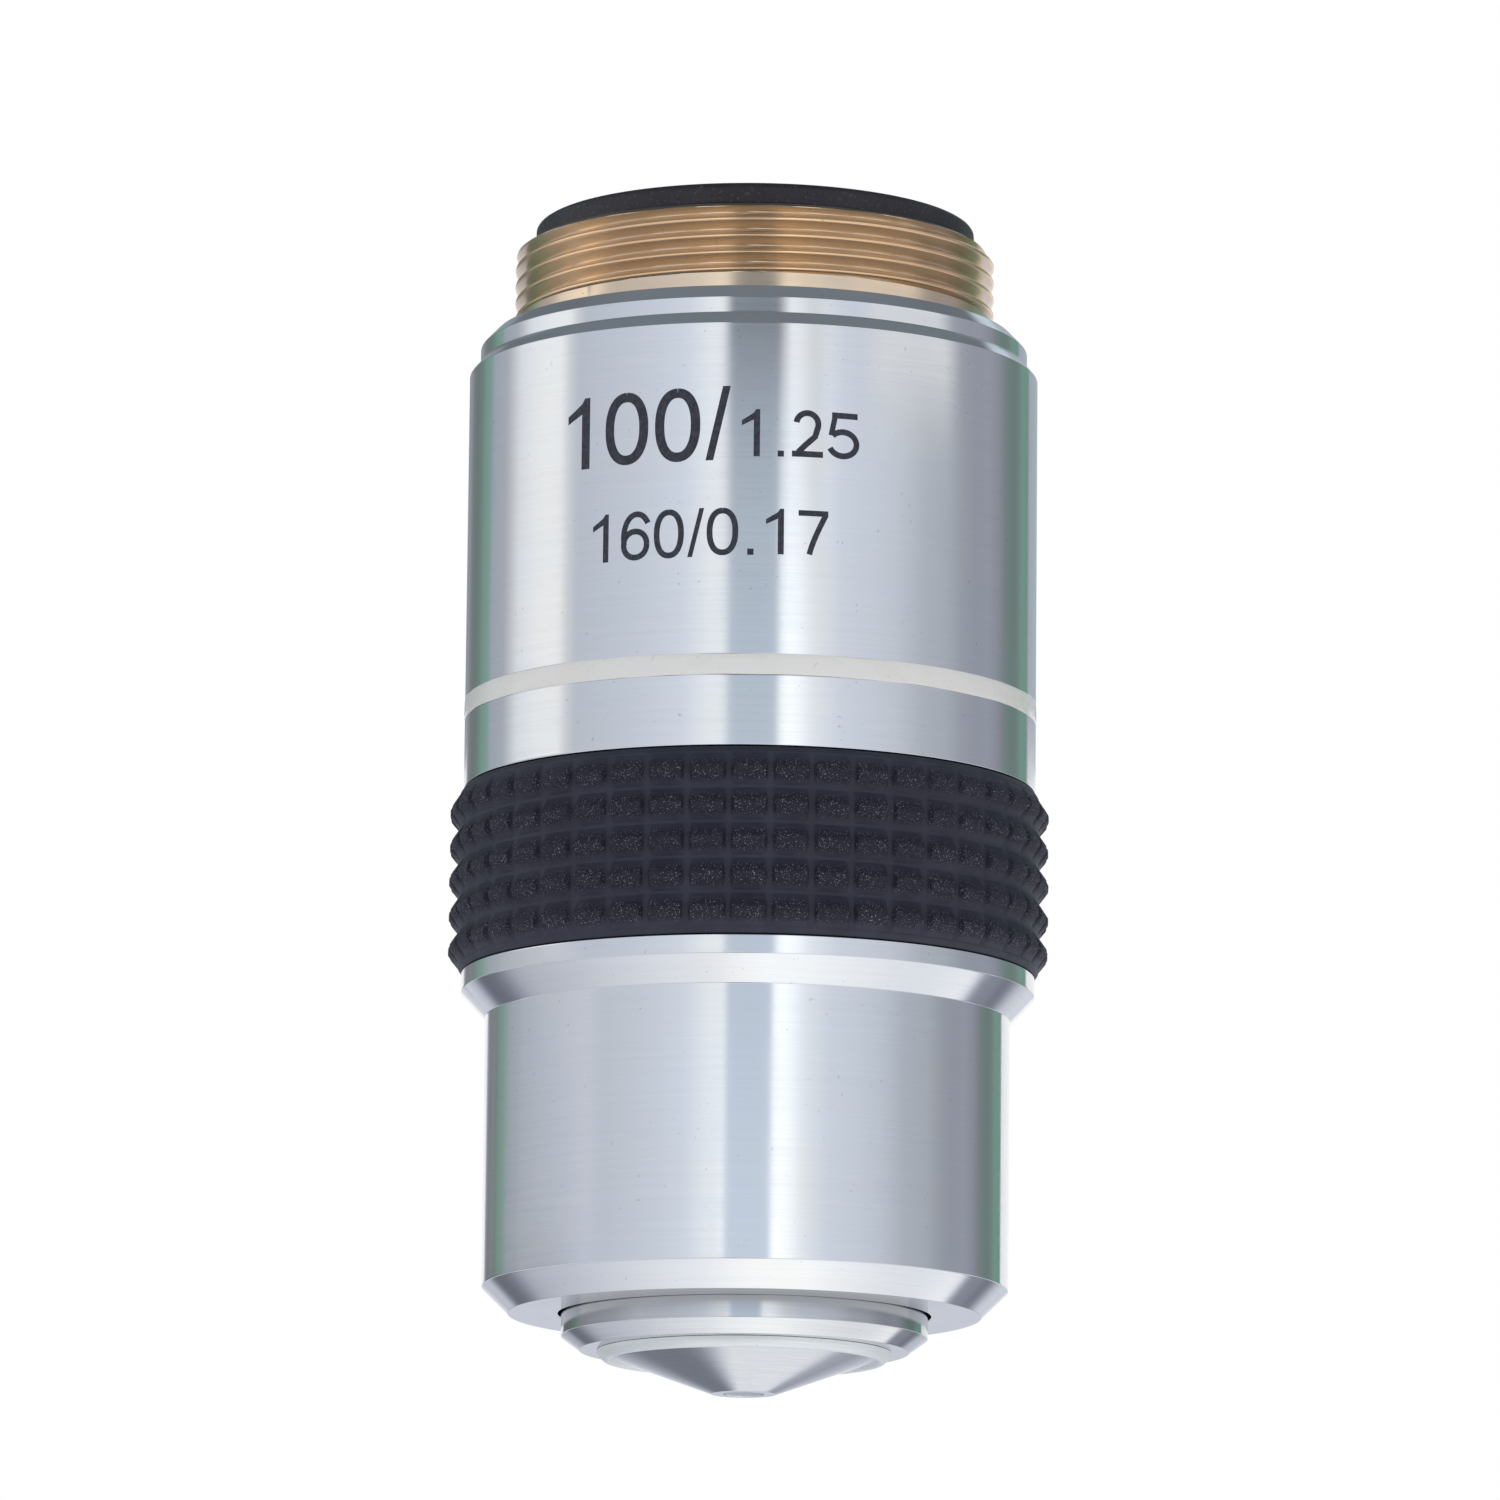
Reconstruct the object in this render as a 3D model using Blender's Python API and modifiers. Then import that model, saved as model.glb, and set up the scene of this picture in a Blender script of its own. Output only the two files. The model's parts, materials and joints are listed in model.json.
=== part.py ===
"""Oil immersion microscope objective with a spring loaded nose, at its real size.

The origin lies on the optical axis, in the plane of the shoulder that stops against a
microscope's nosepiece. +Z runs up through the thread, away from the specimen, and the
front lens looks down. Every turned piece is a half section revolved about the axis. A
section runs down its outer side and back up its bore, and a lens section runs from the
axis, down its rim and back to the axis.
"""

import math

import bmesh
import bpy
from mathutils import Vector

MM = 0.001

# Fits
FIT_GAP = 0.05 * MM  # between pieces that screw, press or rest on each other
CEMENT_GAP = 0.03 * MM  # between the two glasses of a doublet

# Thread mount, above and through the shoulder
THREAD_DIAMETER = 20.27 * MM
THREAD_LENGTH = 3.13 * MM
THREAD_LEAD_WIDTH = 0.70 * MM
THREAD_LEAD_HEIGHT = 0.50 * MM
NECK_LENGTH = 0.72 * MM
NECK_STEP = 0.12 * MM  # the neck lies this far inside the thread
SPIGOT_STEP = 0.56 * MM  # the screwed spigot lies this far inside the neck
SPIGOT_LENGTH = 5.0 * MM
MOUNT_LEDGE = 0.50 * MM  # ledge in the mount's bore under the rear ring

# Rear ring, screwed into the mount
REAR_RING_HEIGHT = 0.88 * MM
REAR_RING_STEP = 0.15 * MM  # brass left bare outside the ring
REAR_RING_ROUND = 0.22 * MM
REAR_RING_LIP = 0.98 * MM
REAR_RING_WALL = 1.60 * MM
REAR_RING_SPIGOT = 2.2 * MM
REAR_RING_FLARE = 0.40 * MM
REAR_NOTCH_WIDTH = 1.2 * MM
REAR_NOTCH_DEPTH = 0.7 * MM

# Outer barrel, from the shoulder down
SHOULDER_RELIEF = 0.12 * MM  # the counterbore clears the thread by this much
SHOULDER_WIDTH = 0.65 * MM
COUNTERBORE_DEPTH = 0.40 * MM
COLLAR_CHAMFER_WIDTH = 0.65 * MM
COLLAR_CHAMFER_HEIGHT = 0.59 * MM
COLLAR_LENGTH = 0.66 * MM
BARREL_CHAMFER_WIDTH = 0.45 * MM
BARREL_CHAMFER_HEIGHT = 0.53 * MM
UPPER_BAND_LENGTH = 13.87 * MM
CODE_RING_WIDTH = 0.85 * MM
CODE_GROOVE_DEPTH = 0.50 * MM
CODE_RING_RISE = 0.03 * MM
MIDDLE_BAND_LENGTH = 2.94 * MM
GRIP_GROOVE_DEPTH = 0.70 * MM
FLANGE_LENGTH = 0.77 * MM
FLANGE_CHAMFER_WIDTH = 1.03 * MM
FLANGE_CHAMFER_HEIGHT = 1.08 * MM
LOWER_BARREL_LENGTH = 11.30 * MM
END_CHAMFER_WIDTH = 1.12 * MM
END_CHAMFER_HEIGHT = 1.04 * MM
BARREL_WALL = 1.67 * MM  # at the lower barrel
END_WALL = 3.0 * MM  # the sleeve's flange rests on this wall
SCREW_BORE_RUNOUT = 0.6 * MM

# Rubber grip
GRIP_LENGTH = 7.81 * MM
GRIP_ROWS = 5
GRIP_COLUMNS = 45
GRIP_LIP_HEIGHT = 0.28 * MM
GRIP_RISE = 0.15 * MM  # the valleys stand this far above the barrel
STUD_HEIGHT = 0.45 * MM
STUD_GROOVE_WIDTH = 0.43 * MM
FIELD_COSINE = 0.95  # between the radius and the normal of a face that takes a stud, at least

# Guide screw, under the grip at the back, which stops the sleeve turning
SCREW_DIAMETER = 2.0 * MM
SCREW_RECESS = 0.3 * MM
DOG_DIAMETER = 1.4 * MM
DOG_REACH = 1.0 * MM  # into the sleeve's slot
DRIVE_SLOT_WIDTH = 0.35 * MM
DRIVE_SLOT_DEPTH = 0.5 * MM

# Return spring and its washer
WASHER_THICKNESS = 0.5 * MM
SPRING_ROOM = 1.55 * MM  # between the barrel's bore and the sleeve's tube
SPRING_LENGTH = 10.4 * MM
SPRING_WIRE = 0.8 * MM
SPRING_TURNS = 7
SPRING_POINTS = 12  # on each turn

# Nose sleeve
NOSE_TRAVEL = 1.5 * MM
TUBE_WALL = 1.5 * MM
TUBE_HEADROOM = 1.0 * MM  # left above the tube when the nose is pushed in
LAND_LENGTH = 4.0 * MM
RELIEF_DEPTH = 0.20 * MM
LEDGE_WIDTH = 1.35 * MM  # the barrel's end wall overlaps the sleeve's flange by this much
NOSE_GAP = 0.25 * MM  # round the nose, where it comes out of the barrel
NOSE_REACH = 0.91 * MM
NOSE_CHAMFER_WIDTH = 0.85 * MM
NOSE_CHAMFER_HEIGHT = 0.61 * MM
NOSE_WALL = 2.1 * MM
INNER_LEDGE_WIDTH = 1.0 * MM
INNER_LEDGE_HEIGHT = 0.8 * MM
SLOT_FLOOR_GAP = 0.25 * MM

# Front cell and front lens
FRONT_CELL_DEPTH = 3.0 * MM  # screwed into the nose
FRONT_RIM_WIDTH = 0.60 * MM
FRONT_RIM_DROP = 0.36 * MM
CONE_STEP = 0.15 * MM
CONE_HEIGHT = 1.38 * MM
TIP_DIAMETER = 2.7 * MM
TIP_WINDOW_DIAMETER = 1.7 * MM
TIP_LIP_THICKNESS = 0.12 * MM
FRONT_LENS_DIAMETER = 3.0 * MM
FRONT_LENS_EDGE = 0.12 * MM
FRONT_LENS_SEAT_HEIGHT = 0.6 * MM
FRONT_CELL_WALL = 1.2 * MM

# Lens cells in the sleeve, from the front to the rear
CELL_LEDGE = 0.6 * MM  # each lens rests on a ledge this wide
CELL_FLOOR = 0.6 * MM
MENISCUS_CELL_LENGTH = 4.0 * MM
MENISCUS_CELL_WALL = 3.15 * MM
MENISCUS_EDGE = 1.0 * MM
MENISCUS_FRONT_SAG = 0.55 * MM
MENISCUS_REAR_SAG = 1.15 * MM
MENISCUS_RING_WIDTH = 0.55 * MM
MENISCUS_RING_THICKNESS = 0.8 * MM
MIDDLE_CELL_LENGTH = 5.0 * MM
MIDDLE_CELL_WALL = 1.95 * MM
MIDDLE_CROWN_EDGE = 0.7 * MM
MIDDLE_FLINT_EDGE = 1.2 * MM
MIDDLE_FRONT_SAG = 0.5 * MM
MIDDLE_CEMENT_SAG = 0.9 * MM
MIDDLE_REAR_SAG = 0.25 * MM
SPACER_LENGTH = 2.0 * MM
SPACER_WALL = 1.1 * MM
REAR_CELL_LENGTH = 4.5 * MM
REAR_CELL_WALL = 1.45 * MM
REAR_CROWN_EDGE = 0.6 * MM
REAR_FLINT_EDGE = 1.1 * MM
REAR_FRONT_SAG = 0.45 * MM
REAR_CEMENT_SAG = 0.8 * MM
REAR_REAR_SAG = 0.2 * MM
STOP_THICKNESS = 0.8 * MM
STOP_DIAMETER = 6.4 * MM
STOP_EDGE = 0.15 * MM
LOCK_RING_LENGTH = 1.7 * MM
LOCK_RING_WALL = 1.6 * MM
LOCK_NOTCH_WIDTH = 1.0 * MM
LOCK_NOTCH_DEPTH = 0.6 * MM

# Facets
BODY_SEGMENTS = 48
CELL_SEGMENTS = 24
SCREW_SEGMENTS = 16
SURFACE_STEPS = 3  # along each curved lens surface
ROUND_STEPS = 2
SHARP_ANGLE = math.radians(30)
MERGE_DISTANCE = 0.001 * MM
CUT_MARGIN = 1.0 * MM  # a cutter reaches this far past what it cuts

# Radii that follow, from the thread outwards
thread_radius = THREAD_DIAMETER / 2
neck_radius = thread_radius - NECK_STEP
spigot_radius = neck_radius - SPIGOT_STEP
lead_radius = thread_radius - THREAD_LEAD_WIDTH
counterbore_radius = thread_radius + SHOULDER_RELIEF
shoulder_radius = counterbore_radius + SHOULDER_WIDTH
collar_radius = shoulder_radius + COLLAR_CHAMFER_WIDTH
barrel_radius = collar_radius + BARREL_CHAMFER_WIDTH
code_groove_radius = barrel_radius - CODE_GROOVE_DEPTH
grip_groove_radius = barrel_radius - GRIP_GROOVE_DEPTH
lower_radius = barrel_radius - FLANGE_CHAMFER_WIDTH
end_radius = lower_radius - END_CHAMFER_WIDTH

# and from the barrel's wall inwards
bore_radius = lower_radius - BARREL_WALL
sleeve_radius = bore_radius - FIT_GAP
tube_radius = bore_radius - SPRING_ROOM
sleeve_bore_radius = tube_radius - TUBE_WALL
cell_radius = sleeve_bore_radius - FIT_GAP
end_hole_radius = bore_radius - LEDGE_WIDTH
nose_radius = end_hole_radius - NOSE_GAP
nose_bore_radius = nose_radius - NOSE_WALL
front_cell_radius = nose_bore_radius - FIT_GAP
inner_ledge_radius = nose_bore_radius - INNER_LEDGE_WIDTH
rear_ring_radius = lead_radius - REAR_RING_STEP
rear_spigot_radius = rear_ring_radius - REAR_RING_LIP
rear_bore_radius = rear_spigot_radius - REAR_RING_WALL
mount_bore_radius = rear_spigot_radius - MOUNT_LEDGE

# Heights, from the shoulder up and down
thread_top = NECK_LENGTH + THREAD_LENGTH
rear_ring_top = thread_top + FIT_GAP + REAR_RING_HEIGHT
collar_bottom = -COLLAR_CHAMFER_HEIGHT - COLLAR_LENGTH
code_top = collar_bottom - BARREL_CHAMFER_HEIGHT - UPPER_BAND_LENGTH
code_bottom = code_top - CODE_RING_WIDTH
grip_top = code_bottom - MIDDLE_BAND_LENGTH
grip_bottom = grip_top - GRIP_LENGTH
grip_middle = (grip_top + grip_bottom) / 2
flange_bottom = grip_bottom - FLANGE_LENGTH
lower_top = flange_bottom - FLANGE_CHAMFER_HEIGHT
lower_bottom = lower_top - LOWER_BARREL_LENGTH
barrel_end = lower_bottom - END_CHAMFER_HEIGHT
ledge_top = barrel_end + END_WALL
washer_bottom = -SPIGOT_LENGTH - FIT_GAP - WASHER_THICKNESS
spring_seat = washer_bottom - SPRING_LENGTH
tube_top = washer_bottom - NOSE_TRAVEL - TUBE_HEADROOM
nose_end = barrel_end - NOSE_REACH - NOSE_CHAMFER_HEIGHT
inner_ledge_bottom = nose_end + FRONT_CELL_DEPTH
inner_ledge_top = inner_ledge_bottom + INNER_LEDGE_HEIGHT
relief_radius = sleeve_radius - RELIEF_DEPTH


def clear_scene():
    for obj in list(bpy.data.objects):
        bpy.data.objects.remove(obj, do_unlink=True)


def make_collection(name):
    collection = bpy.data.collections.new(name)
    bpy.context.scene.collection.children.link(collection)
    return collection


clear_scene()
parts = make_collection("microscope_objective")
cutters = make_collection("cutters")


def make_material(name, colour, metallic, roughness):
    material = bpy.data.materials.new(name)
    material.use_nodes = True
    shader = material.node_tree.nodes["Principled BSDF"]
    shader.inputs["Base Color"].default_value = (*colour, 1.0)
    shader.inputs["Metallic"].default_value = metallic
    shader.inputs["Roughness"].default_value = roughness
    material.diffuse_color = (*colour, 1.0)
    return material


def make_glass(name, colour, index):
    material = make_material(name, colour, 0.0, 0.02)
    shader = material.node_tree.nodes["Principled BSDF"]
    shader.inputs["Transmission Weight"].default_value = 1.0
    shader.inputs["IOR"].default_value = index
    return material


satin_chrome = make_material("satin_chrome", (0.60, 0.62, 0.65), 1.0, 0.28)
bright_steel = make_material("bright_steel", (0.52, 0.53, 0.54), 1.0, 0.25)
turned_brass = make_material("turned_brass", (0.62, 0.42, 0.20), 1.0, 0.30)
black_oxide = make_material("black_oxide", (0.02, 0.02, 0.022), 0.6, 0.45)
grip_rubber = make_material("grip_rubber", (0.022, 0.022, 0.024), 0.0, 0.75)
cream_enamel = make_material("cream_enamel", (0.82, 0.81, 0.74), 0.0, 0.30)
crown_glass = make_glass("crown_glass", (0.95, 0.98, 0.97), 1.52)
flint_glass = make_glass("flint_glass", (0.97, 0.96, 0.90), 1.65)


def finish_piece(obj, material, collection):
    """Links the object and gives it its material."""
    collection.objects.link(obj)
    obj.data.materials.clear()
    obj.data.materials.append(material)
    return obj


def shade(mesh):
    mesh.shade_smooth()
    mesh.set_sharp_from_angle(angle=SHARP_ANGLE)


def revolve(name, section, segments, closed=True):
    """The mesh of a section of (radius, height) points turned once round the Z axis."""
    outline = bpy.data.meshes.new(name + "_section")
    points = [(radius, 0.0, height) for radius, height in section]
    edges = [(k, k + 1) for k in range(len(points) - 1)]
    if closed:
        edges.append((len(points) - 1, 0))
    outline.from_pydata(points, edges, [])
    helper = bpy.data.objects.new(name + "_helper", outline)
    cutters.objects.link(helper)
    screw = helper.modifiers.new("Turn", "SCREW")
    screw.axis = "Z"
    screw.angle = math.tau
    screw.steps = segments
    screw.render_steps = segments
    screw.use_merge_vertices = True
    screw.merge_threshold = MERGE_DISTANCE
    mesh = evaluated_mesh(helper, name)
    bpy.data.objects.remove(helper)
    bpy.data.meshes.remove(outline)
    return mesh


def evaluated_mesh(obj, name):
    graph = bpy.context.evaluated_depsgraph_get()
    mesh = bpy.data.meshes.new_from_object(obj.evaluated_get(graph))
    mesh.name = name
    return mesh


def turned(name, section, material, segments=BODY_SEGMENTS, closed=True):
    mesh = revolve(name, section, segments, closed)
    shade(mesh)
    return finish_piece(bpy.data.objects.new(name, mesh), material, parts)


def cutter_object(name, mesh):
    obj = bpy.data.objects.new(name, mesh)
    obj.hide_render = True
    obj.display_type = "WIRE"
    cutters.objects.link(obj)
    return obj


def box_cutter(name, size, centre):
    """A box of the given (x, y, z) size about a centre."""
    mesh = bpy.data.meshes.new(name)
    bm = bmesh.new()
    bmesh.ops.create_cube(bm, size=1.0)
    bmesh.ops.scale(bm, vec=Vector(size), verts=bm.verts)
    bm.to_mesh(mesh)
    bm.free()
    obj = cutter_object(name, mesh)
    obj.location = centre
    return obj


def subtract(piece, cutter):
    cut = piece.modifiers.new("Cut " + cutter.name, "BOOLEAN")
    cut.operation = "DIFFERENCE"
    cut.solver = "EXACT"
    cut.object = cutter


def arc(centre, radius, start, end, steps):
    """Points of a circular arc in the section plane, from one angle in degrees to another."""
    angles = [math.radians(start + (end - start) * k / steps) for k in range(steps + 1)]
    return [(centre[0] + radius * math.cos(a), centre[1] + radius * math.sin(a)) for a in angles]


def dome(aperture, sag, height):
    """Points from the axis out to the rim of a spherical surface whose rim is at a height.

    A positive sag raises the middle above the rim, and a negative one lowers it.
    """
    if sag == 0.0:
        return [(0.0, height), (aperture, height)]
    sphere = (aperture**2 + sag**2) / (2 * abs(sag))
    rim_angle = math.asin(min(1.0, aperture / sphere))
    side = math.copysign(1.0, sag)
    points = []
    for k in range(SURFACE_STEPS + 1):
        angle = rim_angle * k / SURFACE_STEPS
        fall = sphere * (1 - math.cos(angle))
        points.append((sphere * math.sin(angle), height + sag - side * fall))
    return points


def dome_height(aperture, sag, radius):
    """How far a spherical surface stands above its rim at a radius."""
    sphere = (aperture**2 + sag**2) / (2 * sag)
    return math.sqrt(sphere**2 - radius**2) - math.sqrt(sphere**2 - aperture**2)


def lens(name, aperture, bottom, edge, front_sag, rear_sag, material):
    """A lens from its rim's lower edge up. Both sags count upwards."""
    rear = dome(aperture, rear_sag, bottom + edge)
    front = dome(aperture, front_sag, bottom)
    return turned(name, rear + front[::-1], material, CELL_SEGMENTS, closed=False)


def thread_mount():
    """Brass mount: the thread, its neck, and the spigot that screws into the barrel."""
    ring_bore = rear_spigot_radius + FIT_GAP
    ring_seat = thread_top - REAR_RING_SPIGOT - FIT_GAP
    neck_foot = -COUNTERBORE_DEPTH + FIT_GAP
    section = [
        (lead_radius, thread_top),
        (thread_radius, thread_top - THREAD_LEAD_HEIGHT),
        (thread_radius, NECK_LENGTH),
        (neck_radius, NECK_LENGTH),
        (neck_radius, neck_foot),
        (spigot_radius, neck_foot),
        (spigot_radius, -SPIGOT_LENGTH),
        (mount_bore_radius, -SPIGOT_LENGTH),
        (mount_bore_radius, ring_seat),
        (ring_bore, ring_seat),
        (ring_bore, thread_top),
    ]
    return turned("thread_mount", section, turned_brass)


def rear_ring():
    """Black ring that closes the mount. Two notches take a pin spanner."""
    seat = thread_top + FIT_GAP
    corner = (rear_ring_radius - REAR_RING_ROUND, rear_ring_top - REAR_RING_ROUND)
    section = arc(corner, REAR_RING_ROUND, 90, 0, ROUND_STEPS)
    section += [
        (rear_ring_radius, seat),
        (rear_spigot_radius, seat),
        (rear_spigot_radius, thread_top - REAR_RING_SPIGOT),
        (rear_bore_radius, thread_top - REAR_RING_SPIGOT),
        (rear_bore_radius, rear_ring_top - REAR_RING_FLARE),
        (rear_bore_radius + REAR_RING_FLARE, rear_ring_top),
    ]
    ring = turned("rear_ring", section, black_oxide)
    span = 2 * rear_ring_radius + 2 * CUT_MARGIN
    depth = REAR_NOTCH_DEPTH + CUT_MARGIN
    middle = rear_ring_top + CUT_MARGIN - depth / 2
    subtract(ring, box_cutter("rear_notches", (span, REAR_NOTCH_WIDTH, depth), (0, 0, middle)))
    return ring


def outer_barrel():
    """Plated shell in one piece: shoulder, collar, grooves, flange and lipped end."""
    screw_bore = spigot_radius + FIT_GAP
    screw_bore_end = -SPIGOT_LENGTH - SCREW_BORE_RUNOUT
    section = [
        (counterbore_radius, 0.0),
        (shoulder_radius, 0.0),
        (collar_radius, -COLLAR_CHAMFER_HEIGHT),
        (collar_radius, collar_bottom),
        (barrel_radius, collar_bottom - BARREL_CHAMFER_HEIGHT),
        (barrel_radius, code_top),
        (code_groove_radius, code_top),
        (code_groove_radius, code_bottom),
        (barrel_radius, code_bottom),
        (barrel_radius, grip_top),
        (grip_groove_radius, grip_top),
        (grip_groove_radius, grip_bottom),
        (barrel_radius, grip_bottom),
        (barrel_radius, flange_bottom),
        (lower_radius, lower_top),
        (lower_radius, lower_bottom),
        (end_radius, barrel_end),
        (end_hole_radius, barrel_end),
        (end_hole_radius, ledge_top),
        (bore_radius, ledge_top),
        (bore_radius, screw_bore_end),
        (screw_bore, screw_bore_end),
        (screw_bore, -COUNTERBORE_DEPTH),
        (counterbore_radius, -COUNTERBORE_DEPTH),
    ]
    barrel = turned("outer_barrel", section, satin_chrome)
    hole_radius = SCREW_DIAMETER / 2 + FIT_GAP
    subtract(barrel, radial_drill("guide_screw_hole", hole_radius, barrel_radius))
    return barrel


def radial_drill(name, radius, reach):
    """A round cutter along +Y, at the height of the guide screw."""
    mesh = bpy.data.meshes.new(name)
    bm = bmesh.new()
    bmesh.ops.create_cone(
        bm,
        cap_ends=True,
        segments=SCREW_SEGMENTS,
        radius1=radius,
        radius2=radius,
        depth=reach,
    )
    bm.to_mesh(mesh)
    bm.free()
    drill = cutter_object(name, mesh)
    drill.rotation_euler.x = -math.pi / 2
    drill.location = (0, reach / 2 + CUT_MARGIN, grip_middle)
    return drill


def code_ring():
    """Cream ring that fills its groove and stands slightly proud of the barrel."""
    top = code_top - FIT_GAP
    bottom = code_bottom + FIT_GAP
    section = [
        (barrel_radius, top),
        (barrel_radius + CODE_RING_RISE, (top + bottom) / 2),
        (barrel_radius, bottom),
        (code_groove_radius + FIT_GAP, bottom),
        (code_groove_radius + FIT_GAP, top),
    ]
    return turned("code_ring", section, cream_enamel)


def grip_ring():
    """Rubber ring in its groove, with rows of square studs pulled out of its face."""
    top = grip_top - FIT_GAP
    bottom = grip_bottom + FIT_GAP
    valley_radius = barrel_radius + GRIP_RISE
    # The ring has fewer sides than the barrel, so its flats come closer to the groove.
    inner_radius = (grip_groove_radius + FIT_GAP) / math.cos(math.pi / GRIP_COLUMNS)
    first_row = grip_top - GRIP_LIP_HEIGHT
    row_pitch = (GRIP_LENGTH - 2 * GRIP_LIP_HEIGHT) / GRIP_ROWS
    section = [(barrel_radius, top)]
    section += [(valley_radius, first_row - row_pitch * k) for k in range(GRIP_ROWS + 1)]
    section += [(barrel_radius, bottom), (inner_radius, bottom), (inner_radius, top)]
    mesh = revolve("grip_ring", section, GRIP_COLUMNS)
    bm = bmesh.new()
    bm.from_mesh(mesh)
    fields = [face for face in bm.faces if faces_outwards(face)]
    bmesh.ops.inset_individual(
        bm,
        faces=fields,
        thickness=STUD_GROOVE_WIDTH / 2,
        depth=STUD_HEIGHT,
        use_even_offset=True,
    )
    bm.to_mesh(mesh)
    bm.free()
    shade(mesh)
    return finish_piece(bpy.data.objects.new("grip_ring", mesh), grip_rubber, parts)


def faces_outwards(face):
    """Whether a face of a ring looks straight away from the axis."""
    centre = face.calc_center_median()
    outwards = Vector((centre.x, centre.y, 0.0)).normalized()
    return face.normal.dot(outwards) > FIELD_COSINE


def guide_screw():
    """Grub screw through the barrel's wall, with a dog point in the sleeve's slot."""
    head = grip_groove_radius - SCREW_RECESS
    shank_end = bore_radius + FIT_GAP
    dog_end = relief_radius - DOG_REACH
    section = [
        (0.0, head),
        (SCREW_DIAMETER / 2, head),
        (SCREW_DIAMETER / 2, shank_end),
        (DOG_DIAMETER / 2, shank_end),
        (DOG_DIAMETER / 2, dog_end),
        (0.0, dog_end),
    ]
    screw = turned("guide_screw", section, bright_steel, SCREW_SEGMENTS, closed=False)
    screw.rotation_euler.x = -math.pi / 2
    screw.location.z = grip_middle
    depth = DRIVE_SLOT_DEPTH + CUT_MARGIN
    middle = head + CUT_MARGIN - depth / 2
    span = SCREW_DIAMETER + 2 * CUT_MARGIN
    slot = box_cutter("drive_slot", (span, depth, DRIVE_SLOT_WIDTH), (0, middle, grip_middle))
    subtract(screw, slot)
    return screw


def spring_washer():
    """Flat washer that lets the spring turn as it is pressed."""
    outer = bore_radius - FIT_GAP
    section = [
        (outer, washer_bottom + WASHER_THICKNESS),
        (outer, washer_bottom),
        (mount_bore_radius, washer_bottom),
        (mount_bore_radius, washer_bottom + WASHER_THICKNESS),
    ]
    return turned("spring_washer", section, bright_steel)


def return_spring():
    """Compression spring whose first and last turns lie closed."""
    radius = bore_radius - SPRING_ROOM / 2
    low = spring_seat + FIT_GAP + SPRING_WIRE / 2
    high = washer_bottom - FIT_GAP - SPRING_WIRE / 2
    closed_rise = SPRING_WIRE + FIT_GAP
    open_turns = SPRING_TURNS - 2
    count = SPRING_TURNS * SPRING_POINTS
    curve = bpy.data.curves.new("return_spring_wire", "CURVE")
    curve.dimensions = "3D"
    curve.bevel_depth = SPRING_WIRE / 2
    curve.bevel_resolution = 2
    curve.use_fill_caps = True
    wire = curve.splines.new("POLY")
    wire.points.add(count)
    for k, point in enumerate(wire.points):
        turn = k / SPRING_POINTS
        share = min(max((turn - 1) / open_turns, 0.0), 1.0)
        rise = closed_rise * (min(turn, 1.0) + max(turn - SPRING_TURNS + 1, 0.0))
        rise += (high - low - 2 * closed_rise) * share
        angle = math.tau * turn
        point.co = (radius * math.cos(angle), radius * math.sin(angle), low + rise, 1.0)
    helper = bpy.data.objects.new("return_spring_helper", curve)
    cutters.objects.link(helper)
    mesh = evaluated_mesh(helper, "return_spring")
    bpy.data.objects.remove(helper)
    bpy.data.curves.remove(curve)
    bm = bmesh.new()
    bm.from_mesh(mesh)
    bmesh.ops.remove_doubles(bm, verts=bm.verts, dist=MERGE_DISTANCE)
    bm.to_mesh(mesh)
    bm.free()
    shade(mesh)
    return finish_piece(bpy.data.objects.new("return_spring", mesh), bright_steel, parts)


def nose_sleeve():
    """Sliding sleeve: spring tube, two lands, flange and the nose that shows below."""
    section = [
        (tube_radius, tube_top),
        (tube_radius, spring_seat),
        (sleeve_radius, spring_seat),
        (sleeve_radius, spring_seat - LAND_LENGTH),
        (relief_radius, spring_seat - LAND_LENGTH),
        (relief_radius, ledge_top + LAND_LENGTH),
        (sleeve_radius, ledge_top + LAND_LENGTH),
        (sleeve_radius, ledge_top + FIT_GAP),
        (nose_radius, ledge_top + FIT_GAP),
        (nose_radius, barrel_end - NOSE_REACH),
        (nose_radius - NOSE_CHAMFER_WIDTH, nose_end),
        (nose_bore_radius, nose_end),
        (nose_bore_radius, inner_ledge_bottom),
        (inner_ledge_radius, inner_ledge_bottom),
        (inner_ledge_radius, inner_ledge_top),
        (sleeve_bore_radius, inner_ledge_top),
        (sleeve_bore_radius, tube_top),
    ]
    sleeve = turned("nose_sleeve", section, satin_chrome)
    subtract(sleeve, guide_slot())
    return sleeve


def guide_slot():
    """Round ended cutter for the slot, as long as the nose's travel."""
    width = DOG_DIAMETER + 2 * FIT_GAP
    length = NOSE_TRAVEL + width
    floor = relief_radius - DOG_REACH - SLOT_FLOOR_GAP
    depth = sleeve_radius + CUT_MARGIN - floor
    cutter = box_cutter(
        "guide_slot",
        (width, depth, length),
        (0, floor + depth / 2, grip_middle - NOSE_TRAVEL / 2),
    )
    bm = bmesh.new()
    bm.from_mesh(cutter.data)
    along = [edge for edge in bm.edges if abs(edge.verts[0].co.y - edge.verts[1].co.y) > depth / 2]
    bmesh.ops.bevel(
        bm,
        geom=along,
        offset=width / 2 - FIT_GAP / 2,
        segments=2 * ROUND_STEPS,
        profile=0.5,
        affect="EDGES",
    )
    bm.to_mesh(cutter.data)
    bm.free()
    return cutter


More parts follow.
